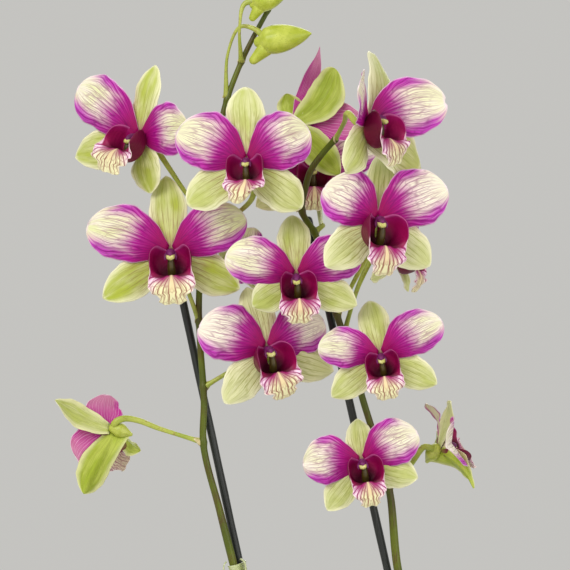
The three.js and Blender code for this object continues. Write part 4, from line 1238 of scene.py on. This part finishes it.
def rounded(profile, radius, steps=5):
    """Replaces the corners of a profile by short arcs."""
    points = [profile[0]]
    for before, corner, after in zip(profile, profile[1:], profile[2:]):
        corner = np.array(corner, float)
        a, b = np.array(before, float) - corner, np.array(after, float) - corner
        cut = min(radius, np.linalg.norm(a) * 0.45, np.linalg.norm(b) * 0.45)
        start, end = corner + unit(a) * cut, corner + unit(b) * cut
        for w in np.linspace(0, 1, steps):
            points.append(tuple((1 - w) ** 2 * start + 2 * w * (1 - w) * corner + w * w * end))
    return points + [profile[-1]]


def pot():
    shoulder = POT["height"] - POT["rim_height"]
    top = POT["height"]
    profile = [
        (0, 0), (POT["base"], 0), (POT["body"], shoulder), (POT["rim"], shoulder),
        (POT["rim"], top), (inner_radius(top), top),
        (inner_radius(POT["floor"]), POT["floor"]), (0, POT["floor"]),
    ]
    piece = Piece()
    piece.add(*lathe(rounded(profile, POT["corner"]), POT["sides"]), PAINT["clay"])
    piece.finish("clay_pot", "pot", ["pot"])


def medium():
    """Dark mix up to the pot's neck, with chips of bark strewn over it between the canes."""
    piece = Piece()
    radius = inner_radius(MEDIUM_TOP) - 0.8
    profile = [
        (0, POT["floor"] + 0.5), (inner_radius(POT["floor"]) - 0.6, POT["floor"] + 0.5),
        (radius, MEDIUM_TOP - 4), (radius * 0.6, MEDIUM_TOP - 2), (0, MEDIUM_TOP - 2),
    ]
    piece.add(*lathe(profile, 64), PAINT["soil"])
    stems = [path[1][:2] for path in CANES.values()]
    for _ in range(CHIPS["count"]):
        distance = (radius - 5) * math.sqrt(rng.random())
        angle = rng.uniform(0, 2 * math.pi)
        x, y = distance * math.cos(angle), distance * math.sin(angle)
        if min(math.dist((x, y), stem) for stem in stems) < CHIPS["clear_of_canes"]:
            continue
        crown = 2.5 * (1 - (distance / radius) ** 2)
        size = rng.uniform(*CHIPS["sizes"])
        chip(piece, (x, y, MEDIUM_TOP - 1.5 + crown + rng.uniform(-2, 1.5)), size)
    piece.finish("bark_mix", "medium", ["medium"])


def chip(piece, centre, size):
    """A rough flake of bark: a flat stone of a few sides with worn edges."""
    turn = Matrix.Rotation(rng.uniform(0, CYCLE), 3, "Z")
    for axis in "XY":
        turn = turn @ Matrix.Rotation(rng.uniform(-0.5, 0.5), 3, axis)
    angle = np.sort(np.array([rng.uniform(-0.3, 0.3) + k for k in range(CHIPS["sides"])]))
    angle = angle / CHIPS["sides"] * 2 * math.pi
    reach = np.array([rng.uniform(0.75, 1.1) for _ in range(CHIPS["sides"])])
    flat = np.stack([np.cos(angle) * reach * size, np.sin(angle) * reach * size * 0.62], 1)
    thick = size * rng.uniform(0.22, 0.4)
    rings = [(0.82, -thick), (1.0, -thick * 0.6), (0.97, thick * 0.5), (0.78, thick)]
    points = [(x * k, y * k, z + rng.uniform(-0.25, 0.25)) for k, z in rings for x, y in flat]
    points += [(0, 0, -thick), (0, 0, thick * 1.1)]
    place = np.zeros((len(points), 3))
    place[:, 2] = rng.random()
    points = np.array(points) @ np.array(turn).T + np.array(centre)
    faces = tube_faces(len(rings), CHIPS["sides"])
    piece.add(points, faces, place, PAINT["bark"], smooth_shading=False)


# ---------------------------------------------------------------- light, floor and camera


def placed(name, data, at=(0, 0, 0)):
    """A new object of the scene, with its origin at a point in mm."""
    made = bpy.data.objects.new(name, data)
    made.location = Vector(at) * MM
    bpy.context.scene.collection.objects.link(made)
    return made


def floor():
    mesh = bpy.data.meshes.new("floor")
    radius, sides = FLOOR["radius"] * MM, FLOOR["sides"]
    around = np.linspace(0, 2 * math.pi, sides, endpoint=False)
    disc = [(radius * math.cos(a), radius * math.sin(a), 0) for a in around]
    mesh.from_pydata(disc, [], [tuple(range(sides))])
    mesh.materials.append(PAINT["floor"])
    placed("floor", mesh)


def lights():
    """A pale studio with three soft lamps."""
    world = bpy.data.worlds.new("studio")
    bpy.context.scene.world = world
    world.use_nodes = True
    sky = world.node_tree.nodes["Background"].inputs
    sky["Color"].default_value = colour(SKY["tint"])
    sky["Strength"].default_value = SKY["strength"]
    for name, spec in LIGHTS.items():
        lamp = bpy.data.lights.new(name, "AREA")
        lamp.size = spec["size"] * MM
        lamp.energy = spec["power"]
        ahead = Vector(AIM) - Vector(spec["at"])
        placed(name, lamp, spec["at"]).rotation_euler = ahead.to_track_quat("-Z", "Y").to_euler()


def camera():
    """The photograph's view: level, from the front."""
    view = bpy.data.cameras.new("camera")
    view.lens = CAMERA["lens"]
    view.sensor_width = CAMERA["sensor"]
    made = placed("camera", view, CAMERA["at"])
    made.rotation_euler = (math.radians(90), 0, 0)
    bpy.context.scene.camera = made
    bpy.context.scene.view_settings.view_transform = "Standard"


# ---------------------------------------------------------------- the scene

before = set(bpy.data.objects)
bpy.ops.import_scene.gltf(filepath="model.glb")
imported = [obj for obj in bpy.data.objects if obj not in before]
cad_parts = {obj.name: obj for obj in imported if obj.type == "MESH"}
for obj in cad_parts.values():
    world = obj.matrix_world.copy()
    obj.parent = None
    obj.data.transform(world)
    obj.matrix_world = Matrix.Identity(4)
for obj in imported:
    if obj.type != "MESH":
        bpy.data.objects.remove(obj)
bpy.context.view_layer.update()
floor()
lights()
camera()
for name, spec in FLOWERS.items():
    flower(name, spec)
for name, spec in BUDS.items():
    bud(name, spec)
for name in CANES:
    cane(name)
for name in STAKES:
    stake(name)
    clip(name)
for name, spec in LEAVES.items():
    leaf(name, spec)
pot()
medium()
